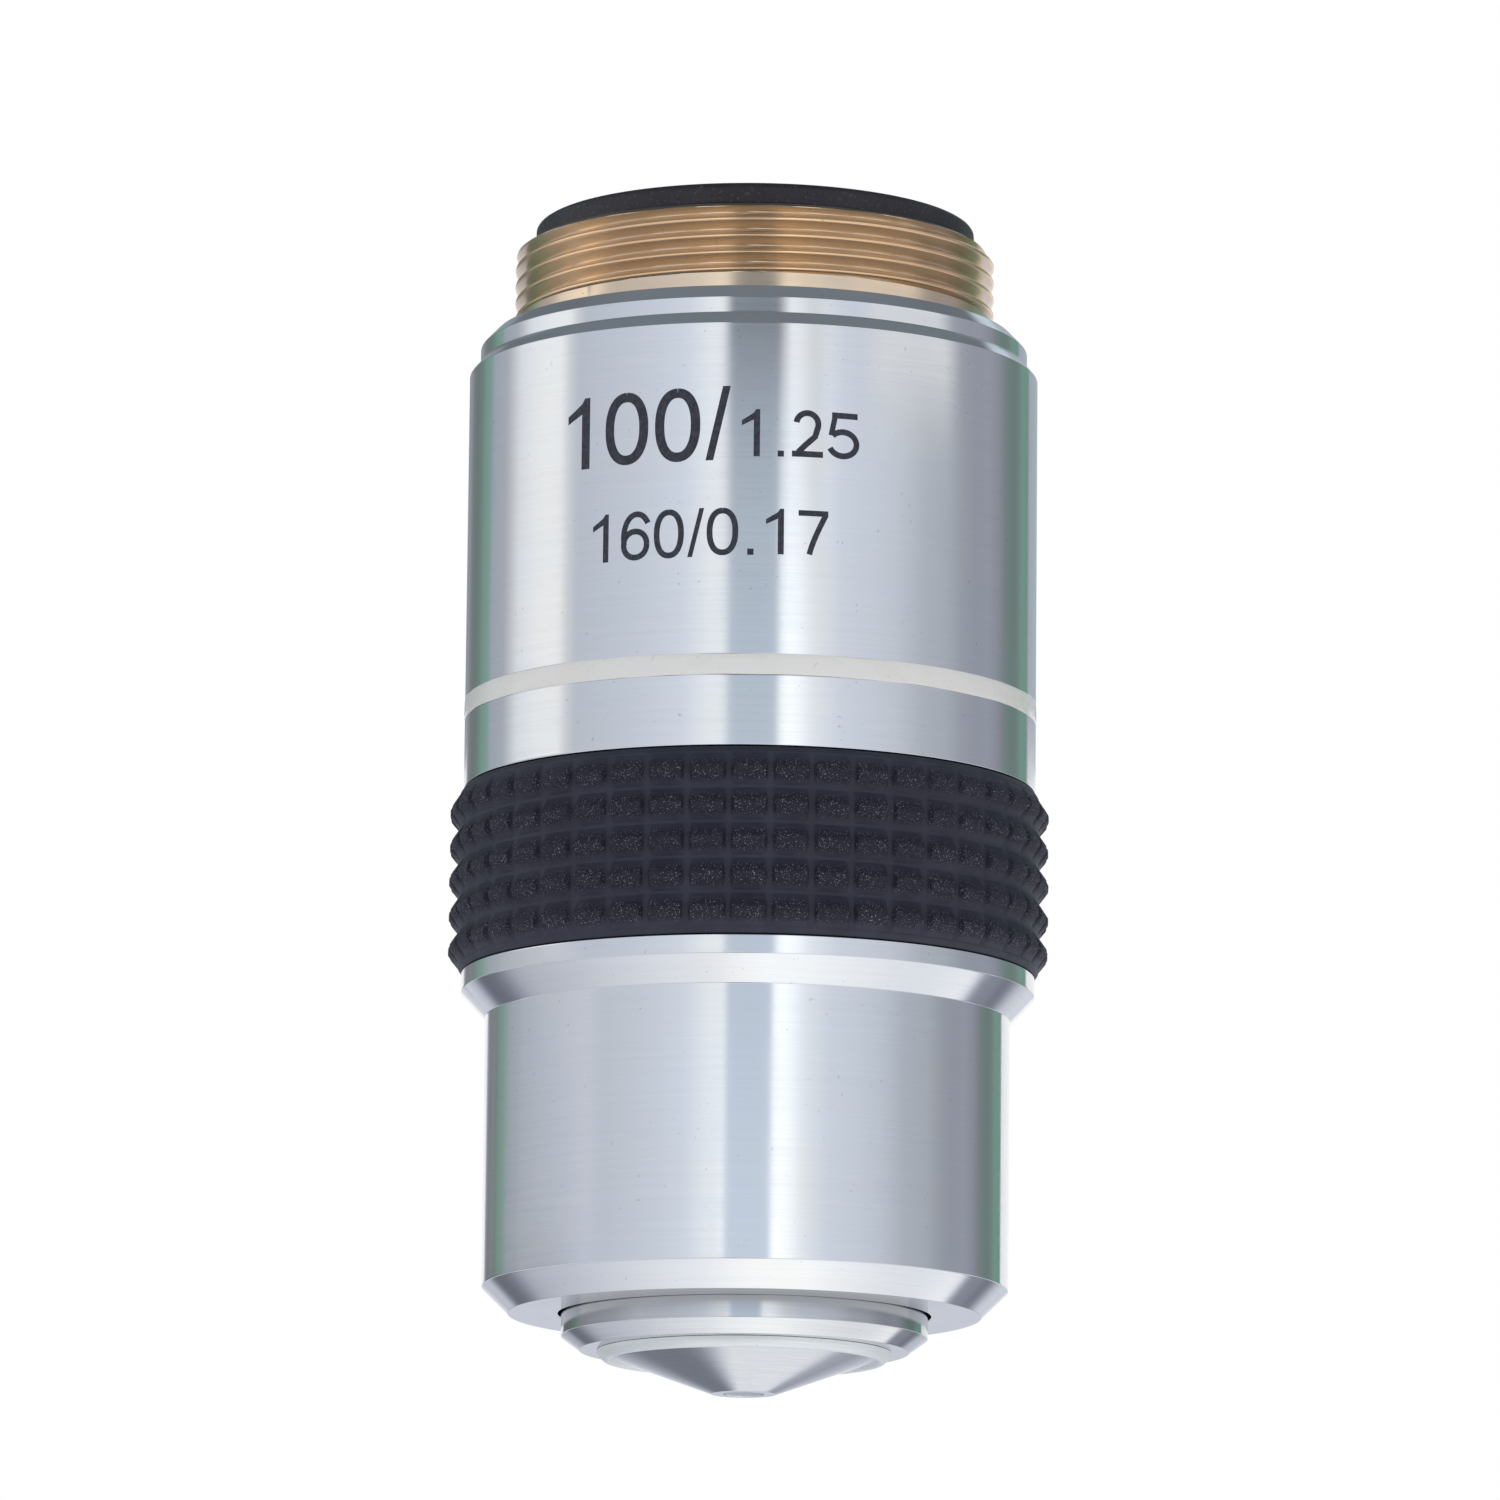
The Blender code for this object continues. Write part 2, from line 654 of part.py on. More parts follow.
def front_cell():
    """Conical cell, screwed into the nose up to its rounded rim."""
    seat = nose_end - FIT_GAP
    rim_bottom = seat - FRONT_RIM_DROP
    rim_radius = front_cell_radius + FRONT_RIM_WIDTH
    cone_radius = front_cell_radius - CONE_STEP
    tip = rim_bottom - CONE_HEIGHT
    lens_bore = FRONT_LENS_DIAMETER / 2 + FIT_GAP
    lip_top = tip + TIP_LIP_THICKNESS
    round_radius = FRONT_RIM_DROP / 2
    cell_top = inner_ledge_bottom - FIT_GAP
    section = [
        (front_cell_radius, cell_top),
        (front_cell_radius, seat),
    ]
    rim_corner = (rim_radius - round_radius, seat - round_radius)
    section += arc(rim_corner, round_radius, 90, -90, 2 * ROUND_STEPS)
    section += [
        (cone_radius, rim_bottom),
        (TIP_DIAMETER / 2, tip),
        (TIP_WINDOW_DIAMETER / 2, tip),
        (TIP_WINDOW_DIAMETER / 2, lip_top),
        (lens_bore, lip_top),
        (lens_bore, lip_top + FRONT_LENS_SEAT_HEIGHT),
        (front_cell_radius - FRONT_CELL_WALL, cell_top),
    ]
    turned("front_cell", section, satin_chrome)
    lens(
        "front_lens",
        FRONT_LENS_DIAMETER / 2,
        lip_top + FIT_GAP,
        FRONT_LENS_EDGE,
        0.0,
        FRONT_LENS_DIAMETER / 2,
        crown_glass,
    )


def lens_cell(name, bottom, length, wall, top_bore=None, top_bore_depth=0.0):
    """A cell in the sleeve's bore. Its lens rests on a ledge above the floor."""
    pocket = cell_radius - wall
    top = bottom + length
    section = [
        (cell_radius, top),
        (cell_radius, bottom),
        (pocket - CELL_LEDGE, bottom),
        (pocket - CELL_LEDGE, bottom + CELL_FLOOR),
        (pocket, bottom + CELL_FLOOR),
    ]
    if top_bore is None:
        section.append((pocket, top))
    else:
        section += [
            (pocket, top - top_bore_depth),
            (top_bore, top - top_bore_depth),
            (top_bore, top),
        ]
    turned(name, section, turned_brass, CELL_SEGMENTS)
    return pocket - FIT_GAP


def meniscus_group(bottom):
    """Second lens, held down in its cell by a screwed ring."""
    lens_bottom = bottom + CELL_FLOOR + FIT_GAP
    ring_bottom = lens_bottom + MENISCUS_EDGE + FIT_GAP
    ring_bore_depth = bottom + MENISCUS_CELL_LENGTH - ring_bottom + FIT_GAP
    pocket = cell_radius - MENISCUS_CELL_WALL
    ring_bore = pocket + MENISCUS_RING_WIDTH
    aperture = lens_cell(
        "meniscus_cell",
        bottom,
        MENISCUS_CELL_LENGTH,
        MENISCUS_CELL_WALL,
        ring_bore,
        ring_bore_depth,
    )
    lens(
        "meniscus_lens",
        aperture,
        lens_bottom,
        MENISCUS_EDGE,
        MENISCUS_FRONT_SAG,
        MENISCUS_REAR_SAG,
        crown_glass,
    )
    ring_top = ring_bottom + MENISCUS_RING_THICKNESS
    # The ring bears on the lens's rim, so its hole follows the dome that rises through it.
    section = [
        (ring_bore - FIT_GAP, ring_top),
        (ring_bore - FIT_GAP, ring_bottom),
        (pocket - FIT_GAP, ring_bottom),
        (pocket - CELL_LEDGE, ring_top),
    ]
    turned("meniscus_lock_ring", section, turned_brass, CELL_SEGMENTS)
    return bottom + MENISCUS_CELL_LENGTH


def doublet_group(name, bottom, length, wall, edges, sags):
    """A cell with a cemented pair: the crown in front of the flint."""
    aperture = lens_cell(name + "_cell", bottom, length, wall)
    bulge = dome_height(aperture, sags[0], aperture + FIT_GAP - CELL_LEDGE)
    crown_bottom = bottom + CELL_FLOOR + FIT_GAP + bulge
    flint_bottom = crown_bottom + edges[0] + CEMENT_GAP
    lens(name + "_crown", aperture, crown_bottom, edges[0], -sags[0], sags[1], crown_glass)
    lens(name + "_flint", aperture, flint_bottom, edges[1], sags[1], sags[2], flint_glass)
    return bottom + length


def plain_ring(name, bottom, length, wall, material):
    section = [
        (cell_radius, bottom + length),
        (cell_radius, bottom),
        (cell_radius - wall, bottom),
        (cell_radius - wall, bottom + length),
    ]
    return turned(name, section, material, CELL_SEGMENTS)


def aperture_stop(bottom):
    """Black disc whose hole narrows to a thin edge."""
    top = bottom + STOP_THICKNESS
    hole = STOP_DIAMETER / 2
    section = [
        (cell_radius, top),
        (cell_radius, bottom),
        (hole, bottom),
        (hole, bottom + STOP_EDGE),
        (hole + STOP_THICKNESS - STOP_EDGE, top),
    ]
    turned("aperture_stop", section, black_oxide, CELL_SEGMENTS)
    return top


def lens_stack():
    """The cells on the sleeve's inner ledge, each resting on the one before."""
    top = meniscus_group(inner_ledge_top + FIT_GAP)
    top = doublet_group(
        "middle",
        top + FIT_GAP,
        MIDDLE_CELL_LENGTH,
        MIDDLE_CELL_WALL,
        (MIDDLE_CROWN_EDGE, MIDDLE_FLINT_EDGE),
        (MIDDLE_FRONT_SAG, MIDDLE_CEMENT_SAG, MIDDLE_REAR_SAG),
    )
    plain_ring("spacer_tube", top + FIT_GAP, SPACER_LENGTH, SPACER_WALL, black_oxide)
    top = doublet_group(
        "rear",
        top + 2 * FIT_GAP + SPACER_LENGTH,
        REAR_CELL_LENGTH,
        REAR_CELL_WALL,
        (REAR_CROWN_EDGE, REAR_FLINT_EDGE),
        (REAR_FRONT_SAG, REAR_CEMENT_SAG, REAR_REAR_SAG),
    )
    top = aperture_stop(top + FIT_GAP)
    ring = plain_ring(
        "rear_lock_ring", top + FIT_GAP, LOCK_RING_LENGTH, LOCK_RING_WALL, black_oxide
    )
    ring_top = top + FIT_GAP + LOCK_RING_LENGTH
    span = 2 * cell_radius + 2 * CUT_MARGIN
    depth = LOCK_NOTCH_DEPTH + CUT_MARGIN
    middle = ring_top + CUT_MARGIN - depth / 2
    subtract(ring, box_cutter("lock_notches", (span, LOCK_NOTCH_WIDTH, depth), (0, 0, middle)))


thread_mount()
rear_ring()
outer_barrel()
code_ring()
grip_ring()
guide_screw()
spring_washer()
return_spring()
nose_sleeve()
front_cell()
lens_stack()
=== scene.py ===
"""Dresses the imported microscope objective: fine turned meshes, materials, studio and camera."""

import json
import math

import bmesh
import bpy
import numpy as np
from mathutils import Matrix, Vector
from mathutils.geometry import delaunay_2d_cdt


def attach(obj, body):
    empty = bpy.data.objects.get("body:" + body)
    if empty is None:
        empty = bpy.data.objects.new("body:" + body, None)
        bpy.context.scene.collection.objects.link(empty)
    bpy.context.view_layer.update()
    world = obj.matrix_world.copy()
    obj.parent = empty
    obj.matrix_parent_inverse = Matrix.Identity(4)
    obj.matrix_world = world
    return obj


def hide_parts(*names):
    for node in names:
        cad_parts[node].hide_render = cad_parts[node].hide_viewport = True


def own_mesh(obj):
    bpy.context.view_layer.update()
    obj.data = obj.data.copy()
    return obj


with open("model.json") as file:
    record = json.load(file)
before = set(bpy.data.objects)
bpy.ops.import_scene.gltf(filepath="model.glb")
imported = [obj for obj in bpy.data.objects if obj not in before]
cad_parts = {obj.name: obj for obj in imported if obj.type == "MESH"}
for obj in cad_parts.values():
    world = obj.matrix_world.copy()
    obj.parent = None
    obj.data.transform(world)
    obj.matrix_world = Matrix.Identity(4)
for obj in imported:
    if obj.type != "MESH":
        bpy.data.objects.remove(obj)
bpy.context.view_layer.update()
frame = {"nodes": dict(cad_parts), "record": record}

MM = 0.001
SEED = 7
SHARP = math.radians(32)

# Fineness of the meshes, lengths in mm
OUTER_SEGMENTS, INNER_SEGMENTS, LENS_SEGMENTS = 256, 128, 96
LENS_STEPS = 14
ROUND_STEPS = 4
EDGE_ROUND = 0.015  # on a corner that has no round of its own
SUPPORT = 0.035  # from the end of a round to its supporting point

# Half sections in mm, (radius, height), down the outer side and back up the bore.
# A third number is the radius of the corner's round.
SECTIONS = {
    "rear_ring": [
        (9.285, 4.78, 0.24), (9.285, 3.9, 0.03), (8.305, 3.9), (8.305, 1.65), (6.705, 1.65),
        (6.705, 4.38, 0.05), (7.105, 4.78, 0.08),
    ],
    "outer_barrel": [
        (10.255, 0.0, 0.04), (10.99, 0.0, 0.03), (11.555, -0.59, 0.06), (11.555, -1.25, 0.06),
        (12.005, -1.78, 0.06), (12.005, -15.65, 0.03), (11.505, -15.65), (11.505, -16.5),
        (12.005, -16.5, 0.03), (12.005, -19.44, 0.04), (11.305, -19.44), (11.305, -27.25),
        (12.005, -27.25, 0.04), (12.005, -28.02, 0.05), (10.975, -29.1, 0.05),
        (10.975, -40.4, 0.06), (9.855, -41.49, 0.06), (7.77, -41.49, 0.05), (7.77, -38.44),
        (9.305, -38.44), (9.305, -5.6), (9.505, -5.6), (9.505, -0.4), (10.255, -0.4),
    ],
    "spring_washer": [(9.255, -5.05), (9.255, -5.55), (7.805, -5.55), (7.805, -5.05)],
    "nose_sleeve": [
        (7.755, -8.05, 0.1), (7.755, -15.95), (9.255, -15.95, 0.05), (9.255, -19.95, 0.05),
        (9.055, -19.95), (9.055, -34.44), (9.255, -34.44, 0.05), (9.255, -38.39, 0.05),
        (7.64, -38.39), (7.64, -42.41, 0.05), (6.855, -42.98, 0.05), (5.605, -42.98, 0.04),
        (5.605, -39.96), (4.605, -39.96), (4.605, -39.16), (6.255, -39.16),
        (6.255, -8.05, 0.15),
    ],
    "front_cell": [
        (5.555, -40.01), (5.555, -42.985), (6.155, -42.985), (6.09, -43.14, 0.3),
        (5.98, -43.28, 0.3), (5.84, -43.40, 0.3), (5.70, -43.43, 0.3),
        (5.55, -43.37, 0.3), (5.45, -43.27, 0.1), (5.395, -43.29, 0.02),
        (1.35, -44.75, 0.06), (0.85, -44.75, 0.04), (0.85, -44.63),
        (1.55, -44.63), (1.55, -44.03), (4.355, -40.01),
    ],
    "meniscus_cell": [
        (6.205, -35.11, 0.1), (6.205, -39.11, 0.1), (2.455, -39.11, 0.05), (2.455, -38.51),
        (3.055, -38.51), (3.055, -37.46), (3.605, -37.46), (3.605, -35.11, 0.1),
    ],
    "meniscus_lock_ring": [
        (3.555, -36.61, 0.05), (3.555, -37.41), (3.005, -37.41), (2.455, -36.61, 0.05),
    ],
    "middle_cell": [
        (6.205, -30.06, 0.1), (6.205, -35.06, 0.1), (3.655, -35.06, 0.05), (3.655, -34.46),
        (4.255, -34.46), (4.255, -30.06, 0.1),
    ],
    "spacer_tube": [
        (6.205, -28.01, 0.1), (6.205, -30.01, 0.1), (5.105, -30.01, 0.1), (5.105, -28.01, 0.1),
    ],
    "rear_cell": [
        (6.205, -23.46, 0.1), (6.205, -27.96, 0.1), (4.155, -27.96, 0.05), (4.155, -27.36),
        (4.755, -27.36), (4.755, -23.46, 0.1),
    ],
    "aperture_stop": [
        (6.205, -22.61, 0.05), (6.205, -23.41, 0.05), (3.2, -23.41), (3.2, -23.26),
        (3.85, -22.61, 0.05),
    ],
    "rear_lock_ring": [
        (6.205, -20.86, 0.1), (6.205, -22.56), (4.605, -22.56), (4.605, -20.86, 0.12),
    ],
}

# Lenses in mm: rim radius, height of the rim's lower edge, rim, front sag, rear sag.
LENSES = {
    "front_lens": (1.5, -44.58, 0.12, 0.0, 1.5),
    "meniscus_lens": (3.005, -38.46, 1.0, 0.55, 1.15),
    "middle_crown": (4.205, -34.2864, 0.7, -0.5, 0.9),
    "middle_flint": (4.205, -33.5564, 1.2, 0.9, 0.25),
    "rear_crown": (4.705, -27.2102, 0.6, -0.45, 0.8),
    "rear_flint": (4.705, -26.5802, 1.1, 0.8, 0.2),
}

# The front lens's lower face, which comes down through the tip's hole
FRONT_FACE = [
    (1.5, -44.58), (0.835, -44.58), (0.835, -44.70), (0.81, -44.72), (0.4, -44.72), (0.0, -44.72),
]

# Spanner notches in mm: the ring's top, their depth, width and span
NOTCHES = {"rear_ring": (4.78, 0.7, 1.2, 22.0), "rear_lock_ring": (-20.86, 0.6, 1.0, 14.0)}

BODY_OF = {}
for body, members in frame["record"]["behaviour"]["bodies"].items():
    for member in members:
        BODY_OF[member] = body
SLOT_OF = {row["node"]: row["material_slot"] for row in frame["record"]["subparts"]}


# Material helpers

LATHE_SLANT = 0.37  # a turned mark moves along the axis by this share of its radius


class Graph:
    """The node tree of a material or world, with short calls for the nodes used here."""

    def __init__(self, owner):
        owner.use_nodes = True
        self.owner = owner
        self.tree = owner.node_tree
        self.shader = self.tree.nodes.get("Principled BSDF")
        self.output = self.tree.nodes.get("Material Output") or self.tree.nodes["World Output"]

    def node(self, kind, **inputs):
        made = self.tree.nodes.new(kind)
        for key, value in inputs.items():
            self.feed(made.inputs[key.replace("_", " ")], value)
        return made

    def feed(self, socket, value):
        """Links a socket or sets a value. A colour may come without its alpha."""
        if isinstance(value, bpy.types.NodeSocket):
            self.tree.links.new(value, socket)
        elif socket.type == "RGBA":
            socket.default_value = (*value[:3], 1.0)
        else:
            socket.default_value = value

    def math(self, operation, a, b=0.0, c=0.0):
        made = self.tree.nodes.new("ShaderNodeMath")
        made.operation = operation
        for socket, value in zip(made.inputs, (a, b, c)):
            self.feed(socket, value)
        return made.outputs[0]

    def vector_math(self, operation, vector):
        made = self.tree.nodes.new("ShaderNodeVectorMath")
        made.operation = operation
        self.feed(made.inputs[0], vector)
        return made.outputs[1] if operation == "LENGTH" else made.outputs[0]

    def ramp(self, value, low, high, to_low=0.0, to_high=1.0):
        made = self.tree.nodes.new("ShaderNodeMapRange")
        made.interpolation_type = "SMOOTHSTEP"
        for socket, given in zip(made.inputs, (value, low, high, to_low, to_high)):
            self.feed(socket, given)
        return made.outputs[0]

    def blend(self, share, a, b):
        made = self.tree.nodes.new("ShaderNodeMix")
        made.data_type = "RGBA"
        self.feed(made.inputs[0], share)
        self.feed(made.inputs[6], a)
        self.feed(made.inputs[7], b)
        return made.outputs[2]

    def noise(self, vector, scale=1.0, detail=2.0, roughness=0.5):
        made = self.node("ShaderNodeTexNoise", Scale=scale, Detail=detail, Roughness=roughness)
        self.feed(made.inputs["Vector"], vector)
        return made.outputs["Fac"]

    def place(self):
        return self.node("ShaderNodeTexCoord").outputs["Object"]

    def split(self, vector):
        made = self.node("ShaderNodeSeparateXYZ")
        self.feed(made.inputs[0], vector)
        return made.outputs

    def join(self, *values):
        made = self.node("ShaderNodeCombineXYZ")
        for socket, value in zip(made.inputs, values):
            self.feed(socket, value)
        return made.outputs[0]

    def flat(self):
        """The place with its height left out."""
        return self.join(*self.split(self.place())[:2])

    def radius(self):
        return self.vector_math("LENGTH", self.flat())

    def height(self):
        return self.split(self.place())[2]

    def turned(self, around, along):
        """Coordinates that are stretched round the Z axis, as a lathe's marks are."""
        heading = self.split(self.vector_math("NORMALIZE", self.flat()))
        path = self.math("MULTIPLY_ADD", self.radius(), LATHE_SLANT, self.height())
        return self.join(
            self.math("MULTIPLY", heading[0], around),
            self.math("MULTIPLY", heading[1], around),
            self.math("MULTIPLY", path, along),
        )

    def bump(self, height, distance, strength=1.0):
        made = self.node("ShaderNodeBump", Strength=strength, Distance=distance)
        self.feed(made.inputs["Height"], height)
        return made.outputs[0]

    def set(self, **values):
        for key, value in values.items():
            self.feed(self.shader.inputs[key.replace("_", " ")], value)

    def mix_to_output(self, share, surface, other):
        """Shows one surface, and the other in its place by the given share."""
        made = self.node("ShaderNodeMixShader")
        for socket, value in zip(made.inputs, (share, surface, other)):
            self.feed(socket, value)
        self.feed(self.output.inputs["Surface"], made.outputs[0])


def material_graph(name):
    return Graph(bpy.data.materials.new(name))


def turned_metal(
    name, dark, light, roughness, anisotropic, lines=1.0, tint=0.02, deep=None, painted_shadow=None
):
    """Lathe turned metal: rings of fine marks, faint smudges, pits and a slight painted iridescent
    sheen.

    deep gives two radii in mm and the colours at them. The argument for a painted shadow gives two
    heights in mm and the share of the dark colour that the colour darkens to, upwards between
    them, with smudges mixed in.
    """
    g = material_graph(name)
    fine = g.noise(g.turned(2.6, 15000.0), detail=3.0, roughness=0.65)
    broad = g.noise(g.turned(1.1, 3200.0), detail=2.0)
    smudge = g.noise(g.place(), scale=260.0, detail=3.0, roughness=0.6)
    pit = g.ramp(g.noise(g.place(), scale=5200.0, detail=1.0), 0.74, 0.80)
    mark = g.math("MULTIPLY_ADD", broad, 0.35, g.math("MULTIPLY", fine, 0.65))
    shade = g.ramp(mark, 0.36, 0.64)
    colour = g.blend(shade, dark, light)
    # Painted iridescent sheen: faint warm and cool tints in bands round the turning
    painted_iridescence = g.noise(g.turned(3.0, 260.0), detail=1.0)
    warm = tuple(c * (1 + tint * k) for c, k in zip(light, (1.0, 0.1, -1.1)))
    cool = tuple(c * (1 + tint * k) for c, k in zip(light, (-1.0, 0.2, 1.0)))
    colour = g.blend(0.4, colour, g.blend(g.ramp(painted_iridescence, 0.35, 0.65), cool, warm))
    if deep:
        low, high, pale, gold = deep
        crest = g.ramp(g.radius(), low * MM, high * MM)
        colour = g.blend(0.7, colour, g.blend(crest, pale, gold))
    # Painted shadow: the film here is smudges plus a painted shadow that darkens the colour
    # upwards between the two heights
    if painted_shadow:
        low, high, share = painted_shadow
        film = g.math("MULTIPLY_ADD", smudge, 0.3, g.ramp(g.height(), low * MM, high * MM))
        colour = g.blend(film, colour, tuple(share * c for c in dark))
    colour = g.blend(g.math("MULTIPLY", pit, 0.35), colour, tuple(0.45 * c for c in dark))
    rough = g.math("MULTIPLY_ADD", g.ramp(smudge, 0.3, 0.75), 0.05, roughness)
    rough = g.math("MULTIPLY_ADD", shade, -0.04, rough)
    g.set(Base_Color=colour, Metallic=1.0, Roughness=rough, Anisotropic=anisotropic)
    g.set(Anisotropic_Rotation=0.25, Normal=g.bump(mark, 0.28e-6 * lines))
    tangent = g.tree.nodes.new("ShaderNodeTangent")
    tangent.direction_type = "RADIAL"
    tangent.axis = "Z"
    g.feed(g.shader.inputs["Tangent"], tangent.outputs[0])
    return g.owner


def coil_metal(name):
    """Drawn spring wire: marks along the wire and a thin film of oil."""
    g = material_graph(name)
    grain = g.noise(g.place(), scale=2400.0, detail=3.0)
    film = g.noise(g.place(), scale=300.0, detail=2.0)
    g.set(Base_Color=g.blend(g.ramp(grain, 0.3, 0.7), (0.40, 0.41, 0.42), (0.58, 0.59, 0.60)))
    g.set(Metallic=1.0, Roughness=g.ramp(film, 0.3, 0.7, 0.2, 0.36))
    g.set(Normal=g.bump(grain, 3e-6))
    return g.owner


def black_finish(name):
    """Matt black anodised metal with a fine sparkle."""
    g = material_graph(name)
    grain = g.noise(g.place(), scale=9000.0, detail=2.0)
    spark = g.ramp(g.noise(g.place(), scale=6500.0, detail=1.0), 0.63, 0.72)
    cloud = g.noise(g.place(), scale=420.0, detail=3.0)
    colour = g.blend(g.ramp(cloud, 0.3, 0.7), (0.016, 0.014, 0.019), (0.026, 0.023, 0.030))
    colour = g.blend(g.math("MULTIPLY", spark, 0.5), colour, (0.09, 0.085, 0.10))
    g.set(Base_Color=colour, Roughness=g.ramp(grain, 0.3, 0.7, 0.42, 0.6))
    g.set(Specular_IOR_Level=0.45, Normal=g.bump(grain, 7e-6))
    return g.owner


def rubber(name, valley, top):
    """Moulded rubber: pale smooth grooves, darker stud tops with specks of dust.

    The grooves' look ends at the valley's radius and the studs' starts at the top's, in mm.
    """
    g = material_graph(name)
    rise = g.ramp(g.radius(), valley * MM, top * MM)
    grain = g.noise(g.place(), scale=9500.0, detail=3.0, roughness=0.7)
    cloud = g.noise(g.place(), scale=700.0, detail=2.0)
    dust = g.ramp(g.noise(g.place(), scale=19000.0, detail=1.0), 0.645, 0.70)
    dust = g.math("MULTIPLY", dust, g.ramp(cloud, 0.34, 0.60, 0.5, 1.0))
    dust = g.math("MULTIPLY", dust, rise)
    groove = g.blend(g.ramp(cloud, 0.3, 0.7), (0.027, 0.0275, 0.045), (0.036, 0.037, 0.058))
    stud = g.blend(g.ramp(grain, 0.3, 0.7), (0.009, 0.0075, 0.020), (0.0245, 0.0225, 0.041))
    colour = g.blend(rise, groove, stud)
    colour = g.blend(g.math("MULTIPLY", dust, 0.85), colour, (0.35, 0.35, 0.385))
    g.set(Base_Color=colour, Specular_IOR_Level=0.32)
    g.set(Roughness=g.math("MULTIPLY_ADD", rise, 0.14, g.ramp(grain, 0.3, 0.7, 0.48, 0.6)))
    g.set(Normal=g.bump(grain, 1.6e-5, g.math("MULTIPLY_ADD", rise, 0.75, 0.15)))
    return g.owner


def enamel(name):
    """Cream paint that fills its groove, with slight waves and a few specks."""
    g = material_graph(name)
    wave = g.noise(g.turned(6.0, 900.0), detail=2.0)
    speck = g.ramp(g.noise(g.place(), scale=3600.0, detail=1.0), 0.72, 0.78)
    colour = g.blend(g.ramp(wave, 0.3, 0.7), (0.885, 0.85, 0.79), (0.92, 0.885, 0.83))
    colour = g.blend(g.math("MULTIPLY", speck, 0.3), colour, (0.55, 0.52, 0.46))
    g.set(Base_Color=colour, Roughness=g.ramp(wave, 0.3, 0.7, 0.22, 0.34))
    g.set(Coat_Weight=0.4, Coat_Roughness=0.12, Normal=g.bump(wave, 4e-6))
    return g.owner


def numeral_paint(name):
    """Dark slate filling of the numerals, slightly worn."""
    g = material_graph(name)
    grain = g.noise(g.place(), scale=5200.0, detail=3.0, roughness=0.6)
    colour = g.blend(g.ramp(grain, 0.35, 0.7), (0.030, 0.031, 0.045), (0.060, 0.062, 0.080))
    g.set(Base_Color=colour, Roughness=g.ramp(grain, 0.3, 0.7, 0.45, 0.6))
    g.set(Specular_IOR_Level=0.3, Normal=g.bump(grain, 4e-6))
    return g.owner


def glass(name, colour, index):
    """Coated lens glass with a trace of dust."""
    g = material_graph(name)
    dust = g.noise(g.place(), scale=2600.0, detail=3.0)
    g.set(Base_Color=g.blend(g.ramp(dust, 0.4, 0.8), colour, tuple(0.97 * c for c in colour)))
    g.set(Roughness=g.ramp(dust, 0.55, 0.8, 0.01, 0.06))
    g.set(Transmission_Weight=1.0, IOR=index)
    g.set(Coat_Weight=0.3, Coat_Tint=(0.75, 0.85, 1.0))
    return g.owner


chrome = turned_metal("chrome_turned", (0.675, 0.695, 0.725), (0.705, 0.725, 0.755), 0.12, 0.5)
nose_chrome = turned_metal("chrome_nose", (0.60, 0.62, 0.645), (0.68, 0.70, 0.72), 0.10, 0.3)
# Painted shade on the sleeve's visible cylinder: a darker copy of the nose chrome, with a painted
# shadow towards the top where the sleeve goes into the barrel
shaded_sleeve_chrome = turned_metal(
    "chrome_sleeve_painted_shade", (0.51, 0.53, 0.555), (0.59, 0.605, 0.63), 0.12, 0.3, lines=1.5,
    painted_shadow=(-42.3, -41.35, 0.74),
)
rim_metal = turned_metal("chrome_rim", (0.72, 0.755, 0.765), (0.80, 0.83, 0.84), 0.60, 0.0)
brass = turned_metal(
    "brass_turned", (0.70, 0.54, 0.38), (0.80, 0.64, 0.48), 0.22, 0.6, lines=1.6, tint=0.04,
    deep=(10.03, 10.12, (0.76, 0.62, 0.475), (0.97, 0.595, 0.31)),
)
steel = turned_metal("steel_turned", (0.42, 0.43, 0.44), (0.56, 0.57, 0.58), 0.27, 0.5)
spring_steel = coil_metal("steel_wire")
black = black_finish("black_anodised")
grip_rubber = rubber("grip_rubber_moulded", 12.21, 12.42)
cream = enamel("cream_paint")
slate = numeral_paint("numeral_paint_slate")
crown = glass("crown_glass_coated", (0.96, 0.985, 0.98), 1.52)
flint = glass("flint_glass_coated", (0.98, 0.97, 0.93), 1.65)
LOOKS = {
    "satin_chrome": chrome, "bright_steel": steel, "turned_brass": brass, "black_oxide": black,
    "grip_rubber": grip_rubber, "cream_enamel": cream, "crown_glass": crown,
    "flint_glass": flint,
}


# Mesh helpers


def make_object(name, vertices, faces, material, smooth=True):
    mesh = bpy.data.meshes.new(name)
    mesh.from_pydata([tuple(v) for v in vertices], [], [tuple(f) for f in faces])
    mesh.materials.append(material)
    if smooth:
        mesh.shade_smooth()
        mesh.set_sharp_from_angle(angle=SHARP)
    obj = bpy.data.objects.new(name, mesh)
    bpy.context.scene.collection.objects.link(obj)
    return obj


def stand_in(obj, node):
    """The piece stands for a CAD node and rides on its body."""
    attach(obj, BODY_OF[node])
    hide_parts(node)
    return obj


